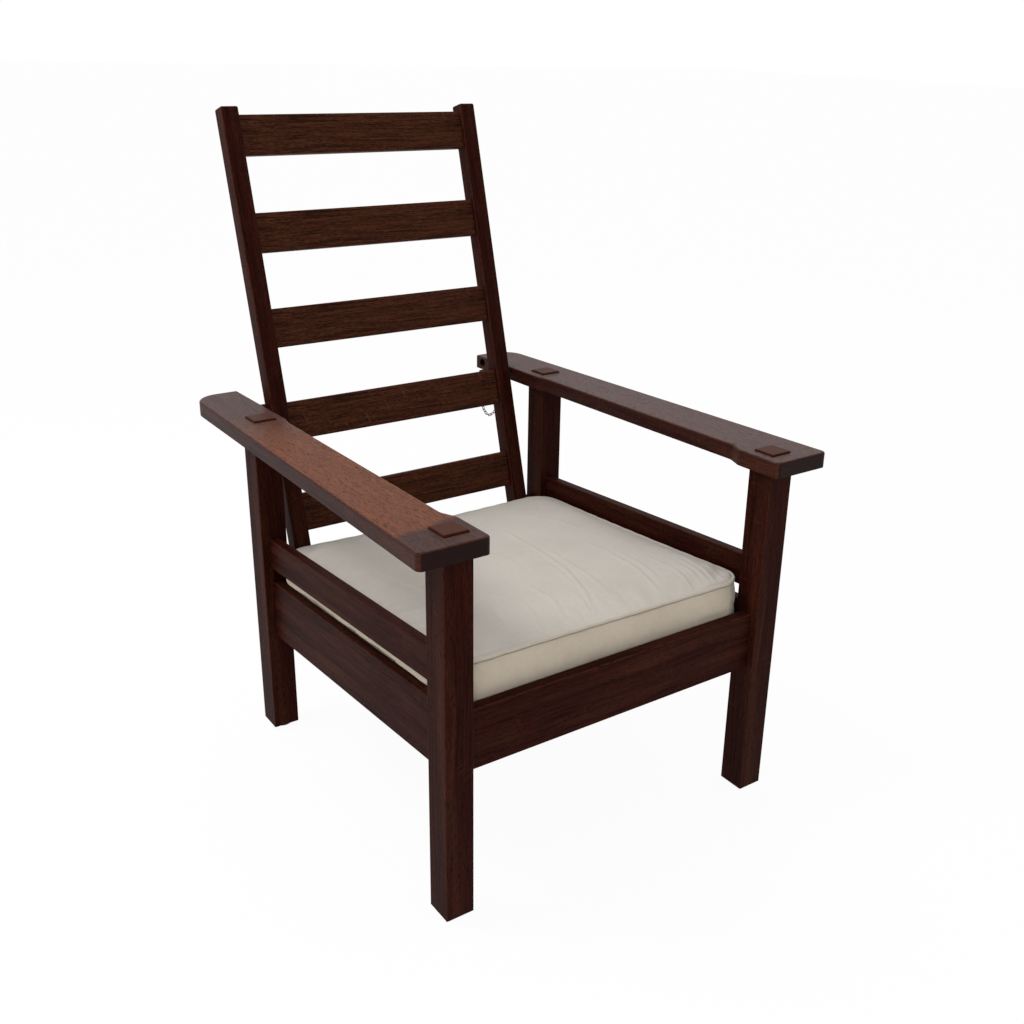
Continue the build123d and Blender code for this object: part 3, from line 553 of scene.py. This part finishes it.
def cushion_mesh(cushion):
    """Points (x, y, height over the seat) and quads of the closed cushion.

    Both panels are square grids pulled out to the outline along rays from the middle, and the boxing is a
    band of rows between their edges, bulged along a sine. Returns the points, the quads and the numbers of
    the points that the seams and the seat hold still.
    """
    count, rows, roll_width = cushion.panel, 12, 4
    welt, bulge = cushion.welt * 1000, cushion.bulge * 1000
    top_seam, bottom_seam = CUSHION_HEIGHT - welt, 2 * welt
    u, v = (one.ravel() for one in np.meshgrid(*[np.linspace(-1, 1, count + 1)] * 2, indexing="ij"))
    ring = np.maximum(np.maximum(np.abs(u), np.abs(v)), 1e-9)
    flat = cushion_outline(u / ring, v / ring, welt, cushion) * np.where(ring < 1e-6, 0, ring)[:, None]
    depth = (1 - ring) * CUSHION_HALF.mean()
    roll = welt * (1 - np.exp(-depth / roll_width))
    top = np.column_stack([flat, top_seam + roll + crown_height(flat, cushion)])
    under = np.clip(depth / (BASE_INSET - welt), 0, 1)
    bottom = np.column_stack([flat, bottom_seam * (0.5 + 0.5 * np.cos(math.pi * under))])
    grid = np.arange((count + 1) ** 2).reshape(count + 1, count + 1)
    edge = np.concatenate([grid[:-1, 0], grid[-1, :-1], grid[:0:-1, -1], grid[0, :0:-1]])
    share = np.arange(1, rows) / rows
    band = []
    for one in share:
        band.append(np.column_stack([
            cushion_outline(u[edge], v[edge], welt - bulge * math.sin(math.pi * one), cushion),
            np.full(len(edge), top_seam + (bottom_seam - top_seam) * one),
        ]))
    total = grid.size
    around = np.arange((rows - 1) * len(edge)).reshape(rows - 1, len(edge)) + total
    low = grid + total + around.size
    loops = np.concatenate([edge[None], around, (edge + total + around.size)[None]])
    loops = np.concatenate([loops, loops[:, :1]], axis=1)
    faces = np.concatenate([grid_faces(grid), grid_faces(loops), grid_faces(low)[:, ::-1]])
    held = np.concatenate([edge, low.ravel()])
    return np.concatenate([top, *band, bottom]), faces, held


def seat_to_chair(points):
    """Points of the seat's plane (x, rearward, height) in the chair's frame."""
    return SEAT_MIDDLE + points @ SEAT_AXES


def chair_to_seat(points):
    """The reverse of seat_to_chair."""
    return (points - SEAT_MIDDLE) @ SEAT_AXES.T


# Folds of the top panel: height, width, and points (x, distance from the cushion's front edge)
FOLDS = (
    (2.6, 3.8, ((63, 369), (55, 265), (40, 167), (12, 81), (-12, 28))),
    (1.6, 3.4, ((69, 250), (62, 190), (54, 120), (42, 60))),
    (1.2, 3.2, ((30, 200), (22, 140), (4, 90))),
    (2.2, 3.6, ((143, 260), (141, 200), (134, 112), (111, 28))),
    (1.2, 3.2, ((156, 190), (152, 120), (138, 60))),
    (1.8, 3.4, ((181, 143), (179, 62), (163, 8))),
    (2.0, 3.6, ((-47, 155), (-45, 81), (-62, 34))),
    (1.7, 3.6, ((-141, 100), (-145, 80), (-159, 30))),
    (1.4, 3.6, ((-87, 112), (-96, 60), (-116, 8))),
    (1.5, 3.4, ((-1, 106), (-8, 60), (-24, 19))),
    (1.5, 2.8, ((233, 121), (226, 60), (210, 4))),
    (1.5, 2.8, ((244, 82), (238, 40), (226, 4))),
    (1.2, 2.8, ((218, 110), (211, 54), (197, 5))),
    (1.2, 2.8, ((204, 96), (197, 50), (183, 6))),
    (1.6, 6.0, ((-205, 330), (-190, 210), (-214, 120))),
    (1.0, 6.0, ((120, 440), (170, 360), (180, 280))),
    (1.0, 5.0, ((-30, 330), (-8, 240), (-20, 180))),
)


def fold_height(points, folds):
    """Height of soft folds at points (x, y): a bell curve across each, with a shallow valley on one side.

    It fades towards the fold's two ends, along a sine.
    """
    valley, valley_place = 0.45, 1.7
    total = np.zeros(len(points))
    for height, width, line in folds:
        path = np.array(line, dtype=float) - [0, CUSHION_HALF[1]]
        start, step = path[:-1], np.diff(path, axis=0)
        reach = np.linalg.norm(step, axis=1)
        offset = points[:, None] - start
        share = np.clip((offset * step).sum(-1) / reach**2, 0, 1)
        gap = offset - share[..., None] * step
        distance = np.linalg.norm(gap, axis=-1)
        nearest = distance.argmin(axis=1)
        rows = np.arange(len(points))
        before = np.concatenate([[0], np.cumsum(reach)[:-1]])
        along = (before[nearest] + share[rows, nearest] * reach[nearest]) / reach.sum()
        side = np.sign(step[nearest, 0] * gap[rows, nearest, 1] - step[nearest, 1] * gap[rows, nearest, 0])
        signed = side * distance[rows, nearest] / width
        fade = np.sin(math.pi * np.clip(0.04 + 0.92 * along, 0, 1)) ** 0.7
        total += height * fade * (np.exp(-(signed**2)) - valley * np.exp(-((signed - valley_place) ** 2)))
    return total


def add_puckers(points, cushion):
    """Adds the small gathers of the sewn seams to points (x, y, height) of the cushion.

    Beside a seam the cloth rises and falls in a wave along it, whose length and height wander, and which
    fades within a few millimetres. At the corners the gathers are longer and fan out.
    """
    seam_reach, fan_reach, corner_reach = 9, 24, 45
    seam_height, fan_height, side_height, swell_height = 0.55, 1.1, 0.5, 0.7
    girth, gather_run, side_band, top_from, foot_from = 265, 2.6, 14, 84, 8
    welt = cushion.welt * 1000
    x, y, height = points.T
    half = CUSHION_HALF - welt
    around = np.arctan2(y, x) * girth
    inward = np.minimum(half[0] - np.abs(x), half[1] - np.abs(y))
    corner = np.exp(-np.hypot(half[0] - np.abs(x), half[1] - np.abs(y)) / corner_reach)
    wave = np.sin(around / gather_run + 3 * np.sin(around / 19) + 2 * np.sin(around / 47 + 1))
    wave *= 0.6 + 0.4 * np.sin(around / 31 + 2)
    top = np.clip((height - top_from) / 5, 0, 1)
    gather = seam_height * np.exp(-np.abs(inward) / seam_reach)
    points[:, 2] += top * wave * (gather + fan_height * corner * np.exp(-np.abs(inward) / fan_reach))
    side = (1 - top) * np.clip((height - foot_from) / 6, 0, 1)
    from_seam = np.abs(np.minimum(CUSHION_HEIGHT - welt - height, height - 2 * welt))
    push = side_height * wave * np.exp(-from_seam / seam_reach)
    push = side * (push + swell_height * np.sin(around / 21 + height / 30))
    outward = np.sign(points[:, :2]) * (np.abs(points[:, :2]) > half - side_band)
    reach = np.maximum(np.linalg.norm(outward, axis=1), 1)
    points[:, :2] += outward * (push / reach)[:, None]


def smooth_step(low, high, value):
    """0 below low, 1 above high, and 3t^2 - 2t^3 between them."""
    share = np.clip((value - low) / (high - low), 0, 1)
    return share * share * (3 - 2 * share)


def squeeze_sides(points, cushion):
    """Presses the sides at points (x, y, height) against the rails, and lets them swell between the rails.

    The push is a half sine up the boxing, with a second one from the top of the lower rail to the bottom of
    the upper one, and both fade towards the legs.
    """
    front_press, front_swell, rear_fade, side_fade = (6, 18), (24, 70), (13, 42), (24, 10)
    press_height, press_top = 4.0, 86
    x, y, height = points.T
    from_front, depth = y + CUSHION_HALF[1], 2 * CUSHION_HALF[1]
    rear = smooth_step(*rear_fade, depth - from_front)
    side = smooth_step(*(CUSHION_HALF[0] - one for one in side_fade), np.abs(x))
    press = np.sin(math.pi * np.clip(height / press_top, 0, 1)) ** 0.6
    low, high = RAIL_GAP
    swell = np.sin(math.pi * np.clip((height - low) / (high - low), 0, 1) ** 1.3)
    more = 1.25 - 0.5 * from_front / depth + 0.1 * np.sin(from_front / 37)
    press = press_height * press * smooth_step(*front_press, from_front)
    swell = cushion.squeeze * 1000 * swell * more * smooth_step(*front_swell, from_front)
    points[:, 0] += np.sign(x) * side * rear * (press + swell)


def inflate(piece, cushion, held):
    """Blows the cushion up a little with the Cloth modifier, and keeps each point near where it was.

    The seams and the underside are pinned. A point's shift d becomes cap * tanh(d / cap).
    """
    steps, cap = 20, 0.005
    mesh = piece.data
    before = read_points(mesh)
    piece.vertex_groups.new(name="held").add(held.tolist(), 1.0, "REPLACE")
    cloth = piece.modifiers.new("Filling", "CLOTH")
    settings = cloth.settings
    settings.quality = 6
    settings.mass = 0.25
    settings.tension_stiffness = settings.compression_stiffness = 22.0
    settings.shear_stiffness = 8.0
    settings.bending_stiffness = 0.4
    settings.use_pressure = True
    settings.uniform_pressure_force = cushion.pressure
    settings.shrink_min = -cushion.spare
    settings.vertex_group_mass = "held"
    settings.effector_weights.gravity = 0.0
    scene = bpy.context.scene
    for step in range(1, steps + 1):
        scene.frame_set(step)
    swollen = piece.evaluated_get(bpy.context.evaluated_depsgraph_get()).to_mesh()
    shift = read_points(swollen) - before
    piece.modifiers.remove(cloth)
    scene.frame_set(1)
    distance = np.maximum(np.linalg.norm(shift, axis=1, keepdims=True), 1e-9)
    mesh.vertices.foreach_set("co", (before + shift / distance * cap * np.tanh(distance / cap)).ravel())
    mesh.update()


def read_points(mesh):
    """A mesh's points, in metres."""
    points = np.empty(len(mesh.vertices) * 3)
    mesh.vertices.foreach_get("co", points)
    return points.reshape(-1, 3)


def plump_up(points, cushion):
    """Stretches the heights of points (x, y, height) towards -X, by a share that grows evenly across."""
    start = 60
    share = np.clip((start - points[:, 0]) / (start + CUSHION_HALF[0]), 0, 1)
    points[:, 2] *= 1 + share * cushion.plump * 1000 / CUSHION_HEIGHT


def keep_clear(points):
    """Keeps points (x, y, height) between the rails, clear of the front rail, the legs and the posts."""
    x, y, height = points.T
    low, high = RAIL_GAP
    gap_margin, swollen, clearance, over_rails, front_rail_top = 0.4, 6.5, 0.5, 12, 45
    between = (height > low + gap_margin) & (height < high - gap_margin)
    reach = np.where(between, RAIL_INNER + swollen, RAIL_INNER - clearance)
    reach = np.where(height > high + over_rails, CUSHION_HALF[0] + 1.5, reach)
    reach = np.where(y + CUSHION_HALF[1] < LEG_DEPTH, LEG_INNER - clearance, reach)
    front = np.where(height < front_rail_top, 0.2, 1.5)
    points[:, 0] = np.clip(x, -reach, reach)
    points[:, 1] = np.minimum(np.maximum(y, -CUSHION_HALF[1] - front), CUSHION_HALF[1] + clearance)
    points[:, 2] = np.maximum(height, 0.0)


class ARMCHAIR_OT_make_cushion(bpy.types.Operator):
    """Makes the seat cushion, filled and sewn, in place of its plain solid"""

    bl_idname = "armchair.make_cushion"
    bl_label = "Make Cushion"

    def execute(self, context):
        cushion = context.scene.armchair_cushion
        points, faces, held = cushion_mesh(cushion)
        cloth = cotton_duck("cotton_duck", cushion)
        piece = make_piece("seat_cushion", seat_to_chair(points), faces, cloth, None)
        inflate(piece, cushion, held)
        smooth = piece.modifiers.new("Smooth", "SUBSURF")
        smooth.levels = smooth.render_levels = 1
        finer = bpy.data.meshes.new_from_object(piece.evaluated_get(context.evaluated_depsgraph_get()))
        piece.modifiers.remove(smooth)
        piece.vertex_groups.clear()
        piece.data = finer
        shape = chair_to_seat(read_points(finer) * 1000)
        fold_drop, fold_fade = 2, 6
        on_top = np.clip((shape[:, 2] - CUSHION_HEIGHT + fold_drop) / fold_fade, 0, 1)
        shape[:, 2] += on_top * fold_height(shape[:, :2], FOLDS)
        add_puckers(shape, cushion)
        plump_up(shape, cushion)
        squeeze_sides(shape, cushion)
        keep_clear(shape)
        finer.vertices.foreach_set("co", (seat_to_chair(shape) / 1000).ravel())
        finer.update()
        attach(piece, "frame")
        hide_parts("cushion")
        return {"FINISHED"}


class ARMCHAIR_OT_make_welts(bpy.types.Operator):
    """Makes the two piped welts round the cushion, and under each a thin dark tube of painted shade"""

    bl_idname = "armchair.make_welts"
    bl_label = "Make Welts"

    def execute(self, context):
        cushion = context.scene.armchair_cushion
        welt = cushion.welt * 1000
        divisions = 90
        step = np.linspace(-1, 1, divisions + 1)[:-1]
        one = np.ones_like(step)
        u = np.concatenate([step, one, -step, -one])
        v = np.concatenate([-one, step, one, -step])
        flat = cushion_outline(u, v, welt, cushion)
        onward = np.roll(flat, -1, axis=0) - np.roll(flat, 1, axis=0)
        onward /= np.linalg.norm(onward, axis=1, keepdims=True)
        out = np.column_stack([onward[:, 1], -onward[:, 0], np.zeros(len(flat))])

        # The welts waver a little, and beside each a thin tube of darkened cloth runs round the boxing:
        # painted shade of the groove along its seam, not a real cord
        around = np.arange(len(flat))
        wave = 0.25 * np.sin(around * 0.9 + 2 * np.sin(around * 0.13))
        seams = (CUSHION_HEIGHT - welt, 2 * welt)
        seam_shade_cloth = cotton_duck("cotton_duck_seam", cushion, 0.62)
        for name, material, drop, outward, radius in (
            ("cushion_welts", bpy.data.materials["cotton_duck"], 0.0, 0.0, welt - 0.2),
            # Painted shade: the darkened tube stands where the groove under each welt is in shade
            ("cushion_seams", seam_shade_cloth, welt + 0.2, welt - 1.6, 0.75),
        ):
            centres = np.stack([
                np.column_stack([flat, height + wave - drop * side]) for height, side in zip(seams, (1, -1))
            ])
            centres += outward * out
            points, faces = tube(centres, out, UPRIGHT, radius, 12)
            shape = points.reshape(-1, 3)
            plump_up(shape, cushion)
            keep_clear(shape)
            piece = make_piece(name, seat_to_chair(shape), faces[:, ::-1], material, "frame")
        return {"FINISHED"}


# Metal


def aged_metal(name, clean, stain, roughness):
    """Drawn or pressed steel, dulled by handling: soft mottled stains and a broken, satin gloss."""
    material, tree = new_material(name)
    place = add_node(tree, "TexCoord")["Object"]
    inputs = {"Vector": place, "Scale": 260.0, "Detail": 4.0, "Roughness": 0.6}
    cloud = add_node(tree, "TexNoise", inputs)[0]
    share = add_node(tree, "MapRange", (cloud, 0.48, 0.68))[0]
    surface = add_node(tree, "BsdfPrincipled", {
        "Base Color": add_node(tree, "Mix", {0: share, 6: clean, 7: stain}, data_type="RGBA")[2],
        "Metallic": 1.0,
        "Roughness": add_node(tree, "MapRange", (cloud, 0.0, 1.0, roughness - 0.1, roughness + 0.2))[0],
        "Normal": add_node(tree, "Bump", {"Height": cloud, "Strength": 0.3, "Distance": 0.0001})[0],
    })
    add_node(tree, "OutputMaterial", surface)
    return material


class ARMCHAIR_OT_dress_hardware(bpy.types.Operator):
    """Makes the metals, and gives the pivot bolts and the cleats' screws theirs"""

    bl_idname = "armchair.dress_hardware"
    bl_label = "Dress Hardware"

    def execute(self, context):
        settings = context.scene.armchair_hardware
        steel = aged_metal("aged_steel", settings.steel, settings.tarnish, 0.42)
        # Painted shade: the glides' steel is made dark for the shadow under the legs; its mottle is tarnish
        aged_metal("tarnished_steel", settings.glide, settings.tarnish, 0.5)
        for node in ("pivot_bolt_left", "pivot_bolt_right", "cleat_screws"):
            dress(node, steel)
        return {"FINISHED"}


class ARMCHAIR_OT_make_glides(bpy.types.Operator):
    """Makes the four domed glides under the feet"""

    bl_idname = "armchair.make_glides"
    bl_label = "Make Glides"

    def execute(self, context):
        radius, edge, dome_height, top = 18.5, 4.5, 4.6, 6.0
        pin_radius, pin_shoulder, pin_tip = 1.8, 18.6, 20.0
        angle = np.linspace(0, math.pi / 2, 9)
        profile = np.array([
            (0.0, 0.0),
            *zip(radius - edge + edge * np.sin(angle), dome_height * (1 - np.cos(angle))),
            (radius, top),
            (pin_radius, top),
            (pin_radius, pin_shoulder),
            (0.0, pin_tip),
        ])
        rings = [lathe((x, y, 0.0), UPRIGHT, profile, 32) for x, y in GLIDE_PLACES]
        count = len(rings[0][0])
        piece = make_piece(
            "glides",
            np.concatenate([points for points, faces in rings]),
            np.concatenate([faces[:, ::-1] + n * count for n, (points, faces) in enumerate(rings)]),
            bpy.data.materials["tarnished_steel"],
            "frame",
        )
        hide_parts(*(f"glide_{end}_{side}" for end in ENDS for side, sign in SIDES))
        return {"FINISHED"}


class ARMCHAIR_OT_make_eyes(bpy.types.Operator):
    """Makes the screw eyes in the pegs' ends and under the arms"""

    bl_idname = "armchair.make_eyes"
    bl_label = "Make Screw Eyes"

    def execute(self, context):
        settings = context.scene.armchair_hardware
        ring, wire, shank_radius = settings.eye * 1000, settings.eye_wire * 1000, 1.2
        shank = [(0.0, 0.0), (wire, 0.2), (shank_radius, 1.4), (shank_radius, 11.0), (0.0, 11.8)]
        bench_up = direction(BENCH_LEAN)
        angle = np.linspace(0, 2 * math.pi, 28, endpoint=False)[:, None]
        spoke = np.cos(angle) * ACROSS + np.sin(angle) * bench_up
        through = np.cross(ACROSS, bench_up)
        for side, sign in SIDES:
            for stem, centre, back, body in (
                ("peg_eye", PEG_EYE_CENTRE, ACROSS * sign, f"peg_{side}"),
                ("arm_eye", ARM_EYE_CENTRE, bench_up, "frame"),
            ):
                centre = np.array(centre) * [sign, 1, 1]
                points, faces = tube((centre + ring * spoke)[None], spoke, through, wire, 10)
                stalk, sides = lathe(centre + back * ring, back, shank, 12)
                piece = make_piece(
                    f"{stem}_wire_{side}",
                    np.concatenate([points.reshape(-1, 3), stalk]),
                    np.concatenate([faces, sides[:, ::-1] + points.size // 3]),
                    bpy.data.materials["aged_steel"],
                    body,
                )
                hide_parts(f"{stem}_{side}")
        return {"FINISHED"}


def catenary(span, rise, whole, along):
    """Places (level, height) at distances along a chain of that length hung across a span and a rise.

    Its scale a solves 2a sinh(span / 2a) = sqrt(length^2 - rise^2), by halving a bracket, and its lowest
    point follows from asinh of rise over that length.
    """
    free = math.sqrt(whole**2 - rise**2)
    low, high = span / 200, span * 200
    for _ in range(80):
        scale = math.sqrt(low * high)
        if 2 * scale * math.sinh(min(span / (2 * scale), 300)) > free:
            low = scale
        else:
            high = scale
    shift = scale * math.asinh(rise / (2 * scale * math.sinh(span / (2 * scale))))
    start = shift - span / 2
    place = scale * np.arcsinh(math.sinh(start / scale) + along / scale)
    return place - start, scale * (np.cosh(place / scale) - math.cosh(start / scale))


class ARMCHAIR_OT_make_chains(bpy.types.Operator):
    """Hangs a chain of real links between each peg's eye and the eye under its arm"""

    bl_idname = "armchair.make_chains"
    bl_label = "Make Chains"

    def execute(self, context):
        settings = context.scene.armchair_hardware
        wire, link = settings.wire * 1000, settings.link * 1000
        width, pitch, count = settings.link_width * 1000, settings.pitch * 1000, settings.count
        bend = width / 2

        # An end link hangs in the bottom of its eye, with a little play
        play = 0.6
        hook = direction(BENCH_LEAN) * (settings.eye_wire * 1000 + wire + play - settings.eye * 1000)
        steps = np.linspace(-math.pi / 2, math.pi / 2, 9)
        turn = np.concatenate([steps, steps + math.pi])
        end = np.repeat([link / 2 - bend, bend - link / 2], len(steps))
        for side, sign in SIDES:
            start, finish = (np.array(one) * [sign, 1, 1] + hook for one in (PEG_EYE_CENTRE, ARM_EYE_CENTRE))
            level = (finish - start) * [1, 1, 0]
            span = np.linalg.norm(level)
            level /= span
            across = np.cross(level, UPRIGHT)
            along = (link - pitch) / 2 + pitch * np.arange(count + 1)
            run, height = catenary(span, finish[2] - start[2], (count - 1) * pitch + link, along)
            meetings = start + run[:, None] * level + height[:, None] * UPRIGHT
            forward = np.diff(meetings, axis=0)
            forward /= np.linalg.norm(forward, axis=1, keepdims=True)
            standing = np.cross(across, forward)
            odd = (np.arange(count) % 2 == 1)[:, None]
            normal = np.where(odd, across, standing)
            sideways = np.cross(normal, forward)
            out = np.cos(turn)[:, None] * forward[:, None] + np.sin(turn)[:, None] * sideways[:, None]
            middles = (meetings[:-1] + meetings[1:])[:, None] / 2
            centre = middles + end[:, None] * forward[:, None] + bend * out
            points, faces = tube(centre, out, normal[:, None], wire, 8)
            steel = bpy.data.materials["aged_steel"]
            piece = make_piece(f"peg_chain_{side}", points, faces, steel, None)
            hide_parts(f"chain_{side}")
            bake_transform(piece)
        return {"FINISHED"}


# Stage


WHITE = (1.0, 1.0, 1.0, 1.0)
FLOOR_HALF = 30.0

# Name, diameter, place and aim of each lamp, in metres
LAMPS = (
    ("overhead", 1.0, (-1.5, 0.7, 2.3), (0.0, -0.1, 0.4)),
    ("front", 2.0, (-1.6, -2.6, 1.9), (0.0, 0.0, 0.4)),
)

# Where the room is brightest, and the values along that way between which its light grows
BRIGHT_WAY = (0.45, 0.70, 0.55)
BRIGHT_RANGE = (-0.6, 0.7)

# The camera, fitted to the photo: place in metres, turn in degrees, shift and sensor width
CAMERA_PLACE = (-0.963855, -1.449492, 1.135260)
CAMERA_TURN = (66.671526, -1.715074, -34.596873)
CAMERA_SHIFT = (0.00653, 0.01037)
CAMERA_SENSOR = 36.0


def seen_ray(tree):
    """1 for a camera, glossy or transmission ray, by which a backdrop is seen, and 0 for one that lights."""
    path = add_node(tree, "LightPath")
    direct = (path["Is Camera Ray"], path["Is Glossy Ray"])
    direct = add_node(tree, "Math", direct, operation="MAXIMUM")[0]
    return add_node(tree, "Math", (direct, path["Is Transmission Ray"]), operation="MAXIMUM")[0]


class ARMCHAIR_OT_make_stage(bpy.types.Operator):
    """Makes the plain floor, the lamps, the room's light and the camera"""

    bl_idname = "armchair.make_stage"
    bl_label = "Make Stage"

    def execute(self, context):
        settings = context.scene.armchair_stage
        scene = context.scene
        scene.view_settings.view_transform = "Standard"

        # Painted floor, which looks almost white where it is seen but still takes the chair's shadow
        material, tree = new_material("painted_floor")
        paint = add_node(tree, "BsdfDiffuse", (settings.floor,))[0]
        glow = add_node(tree, "Emission", (WHITE, 1.0))[0]
        share = add_node(tree, "Math", (seen_ray(tree), settings.whiteness), operation="MULTIPLY")[0]
        add_node(tree, "OutputMaterial", add_node(tree, "MixShader", (share, paint, glow)))
        corners = [(x * FLOOR_HALF, y * FLOOR_HALF, 0.0) for x, y in ((-1, -1), (1, -1), (1, 1), (-1, 1))]
        floor = bpy.data.meshes.new("floor")
        floor.from_pydata(corners, [], [(0, 1, 2, 3)])
        floor.materials.append(material)
        floor = add_object("floor", floor)

        # The room is white where it is seen, and lights the chair more from behind than from the front
        world = bpy.data.worlds.new("room")
        scene.world = world
        world.use_nodes = True
        tree = world.node_tree
        tree.nodes.clear()
        place = add_node(tree, "TexCoord")["Generated"]
        rear = add_node(tree, "VectorMath", (place, BRIGHT_WAY), operation="DOT_PRODUCT")["Value"]
        strength = (rear, *BRIGHT_RANGE, settings.sky_near, settings.sky_far)
        strength = add_node(tree, "MapRange", strength)[0]
        seen = add_node(tree, "Math", (seen_ray(tree), strength), operation="MAXIMUM")[0]
        add_node(tree, "OutputWorld", add_node(tree, "Background", (WHITE, seen)))

        for name, size, place, aim in LAMPS:
            lamp = bpy.data.lights.new(name, "AREA")
            lamp.energy, lamp.shape, lamp.size = getattr(settings, name), "DISK", size
            toward = look_along(np.array(aim) - place)
            add_object(name, lamp).matrix_world = Matrix.Translation(place) @ toward.to_4x4()

        camera = bpy.data.cameras.new("camera")
        camera.lens, camera.sensor_width = settings.lens, CAMERA_SENSOR
        camera.shift_x, camera.shift_y = CAMERA_SHIFT
        camera = add_object("camera", camera)
        camera.location = CAMERA_PLACE
        camera.rotation_euler = [math.radians(value) for value in CAMERA_TURN]
        scene.camera = camera
        return {"FINISHED"}


def look_along(toward):
    """Rotation that turns a lamp's own -Z to a direction."""
    back = -np.asarray(toward, dtype=float)
    back /= np.linalg.norm(back)
    right = np.cross(UPRIGHT, back)
    right /= np.linalg.norm(right)
    return Matrix(np.stack([right, np.cross(back, right), back], axis=1).tolist())


class ARMCHAIR_PT_panel(bpy.types.Panel):
    """Lists the chair's pieces and the sizes and colours that go with them"""

    bl_label = "Reclining Armchair"
    bl_space_type = "VIEW_3D"
    bl_region_type = "UI"
    bl_category = "Armchair"

    def draw(self, context):
        for title, group, operators in SECTIONS:
            box = self.layout.box()
            box.label(text=title)
            for operator in operators:
                box.operator(operator.bl_idname)
            settings = getattr(context.scene, group)
            for name in settings.__annotations__:
                box.prop(settings, name)


GROUPS = {
    "armchair_oak": OakSettings,
    "armchair_seat_frame": SeatFrameSettings,
    "armchair_cushion": CushionSettings,
    "armchair_hardware": HardwareSettings,
    "armchair_stage": StageSettings,
}
SECTIONS = (
    ("Oak", "armchair_oak", (ARMCHAIR_OT_dress_oak,)),
    ("Seat frame", "armchair_seat_frame", (ARMCHAIR_OT_dress_seat_frame,)),
    ("Cushion", "armchair_cushion", (ARMCHAIR_OT_make_cushion, ARMCHAIR_OT_make_welts)),
    (
        "Hardware",
        "armchair_hardware",
        (ARMCHAIR_OT_dress_hardware, ARMCHAIR_OT_make_glides, ARMCHAIR_OT_make_eyes, ARMCHAIR_OT_make_chains),
    ),
    ("Stage", "armchair_stage", (ARMCHAIR_OT_make_stage,)),
)
OPERATORS = [operator for title, group, operators in SECTIONS for operator in operators]


def register():
    for one in (*GROUPS.values(), *OPERATORS, ARMCHAIR_PT_panel):
        bpy.utils.register_class(one)
    for name, group in GROUPS.items():
        setattr(bpy.types.Scene, name, PointerProperty(type=group))


def unregister():
    for name in GROUPS:
        delattr(bpy.types.Scene, name)
    for one in reversed((*GROUPS.values(), *OPERATORS, ARMCHAIR_PT_panel)):
        bpy.utils.unregister_class(one)


def main():
    register()
    for operator in OPERATORS:
        group, name = operator.bl_idname.split(".")
        getattr(getattr(bpy.ops, group), name)()
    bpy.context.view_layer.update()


if __name__ == "__main__":
    main()
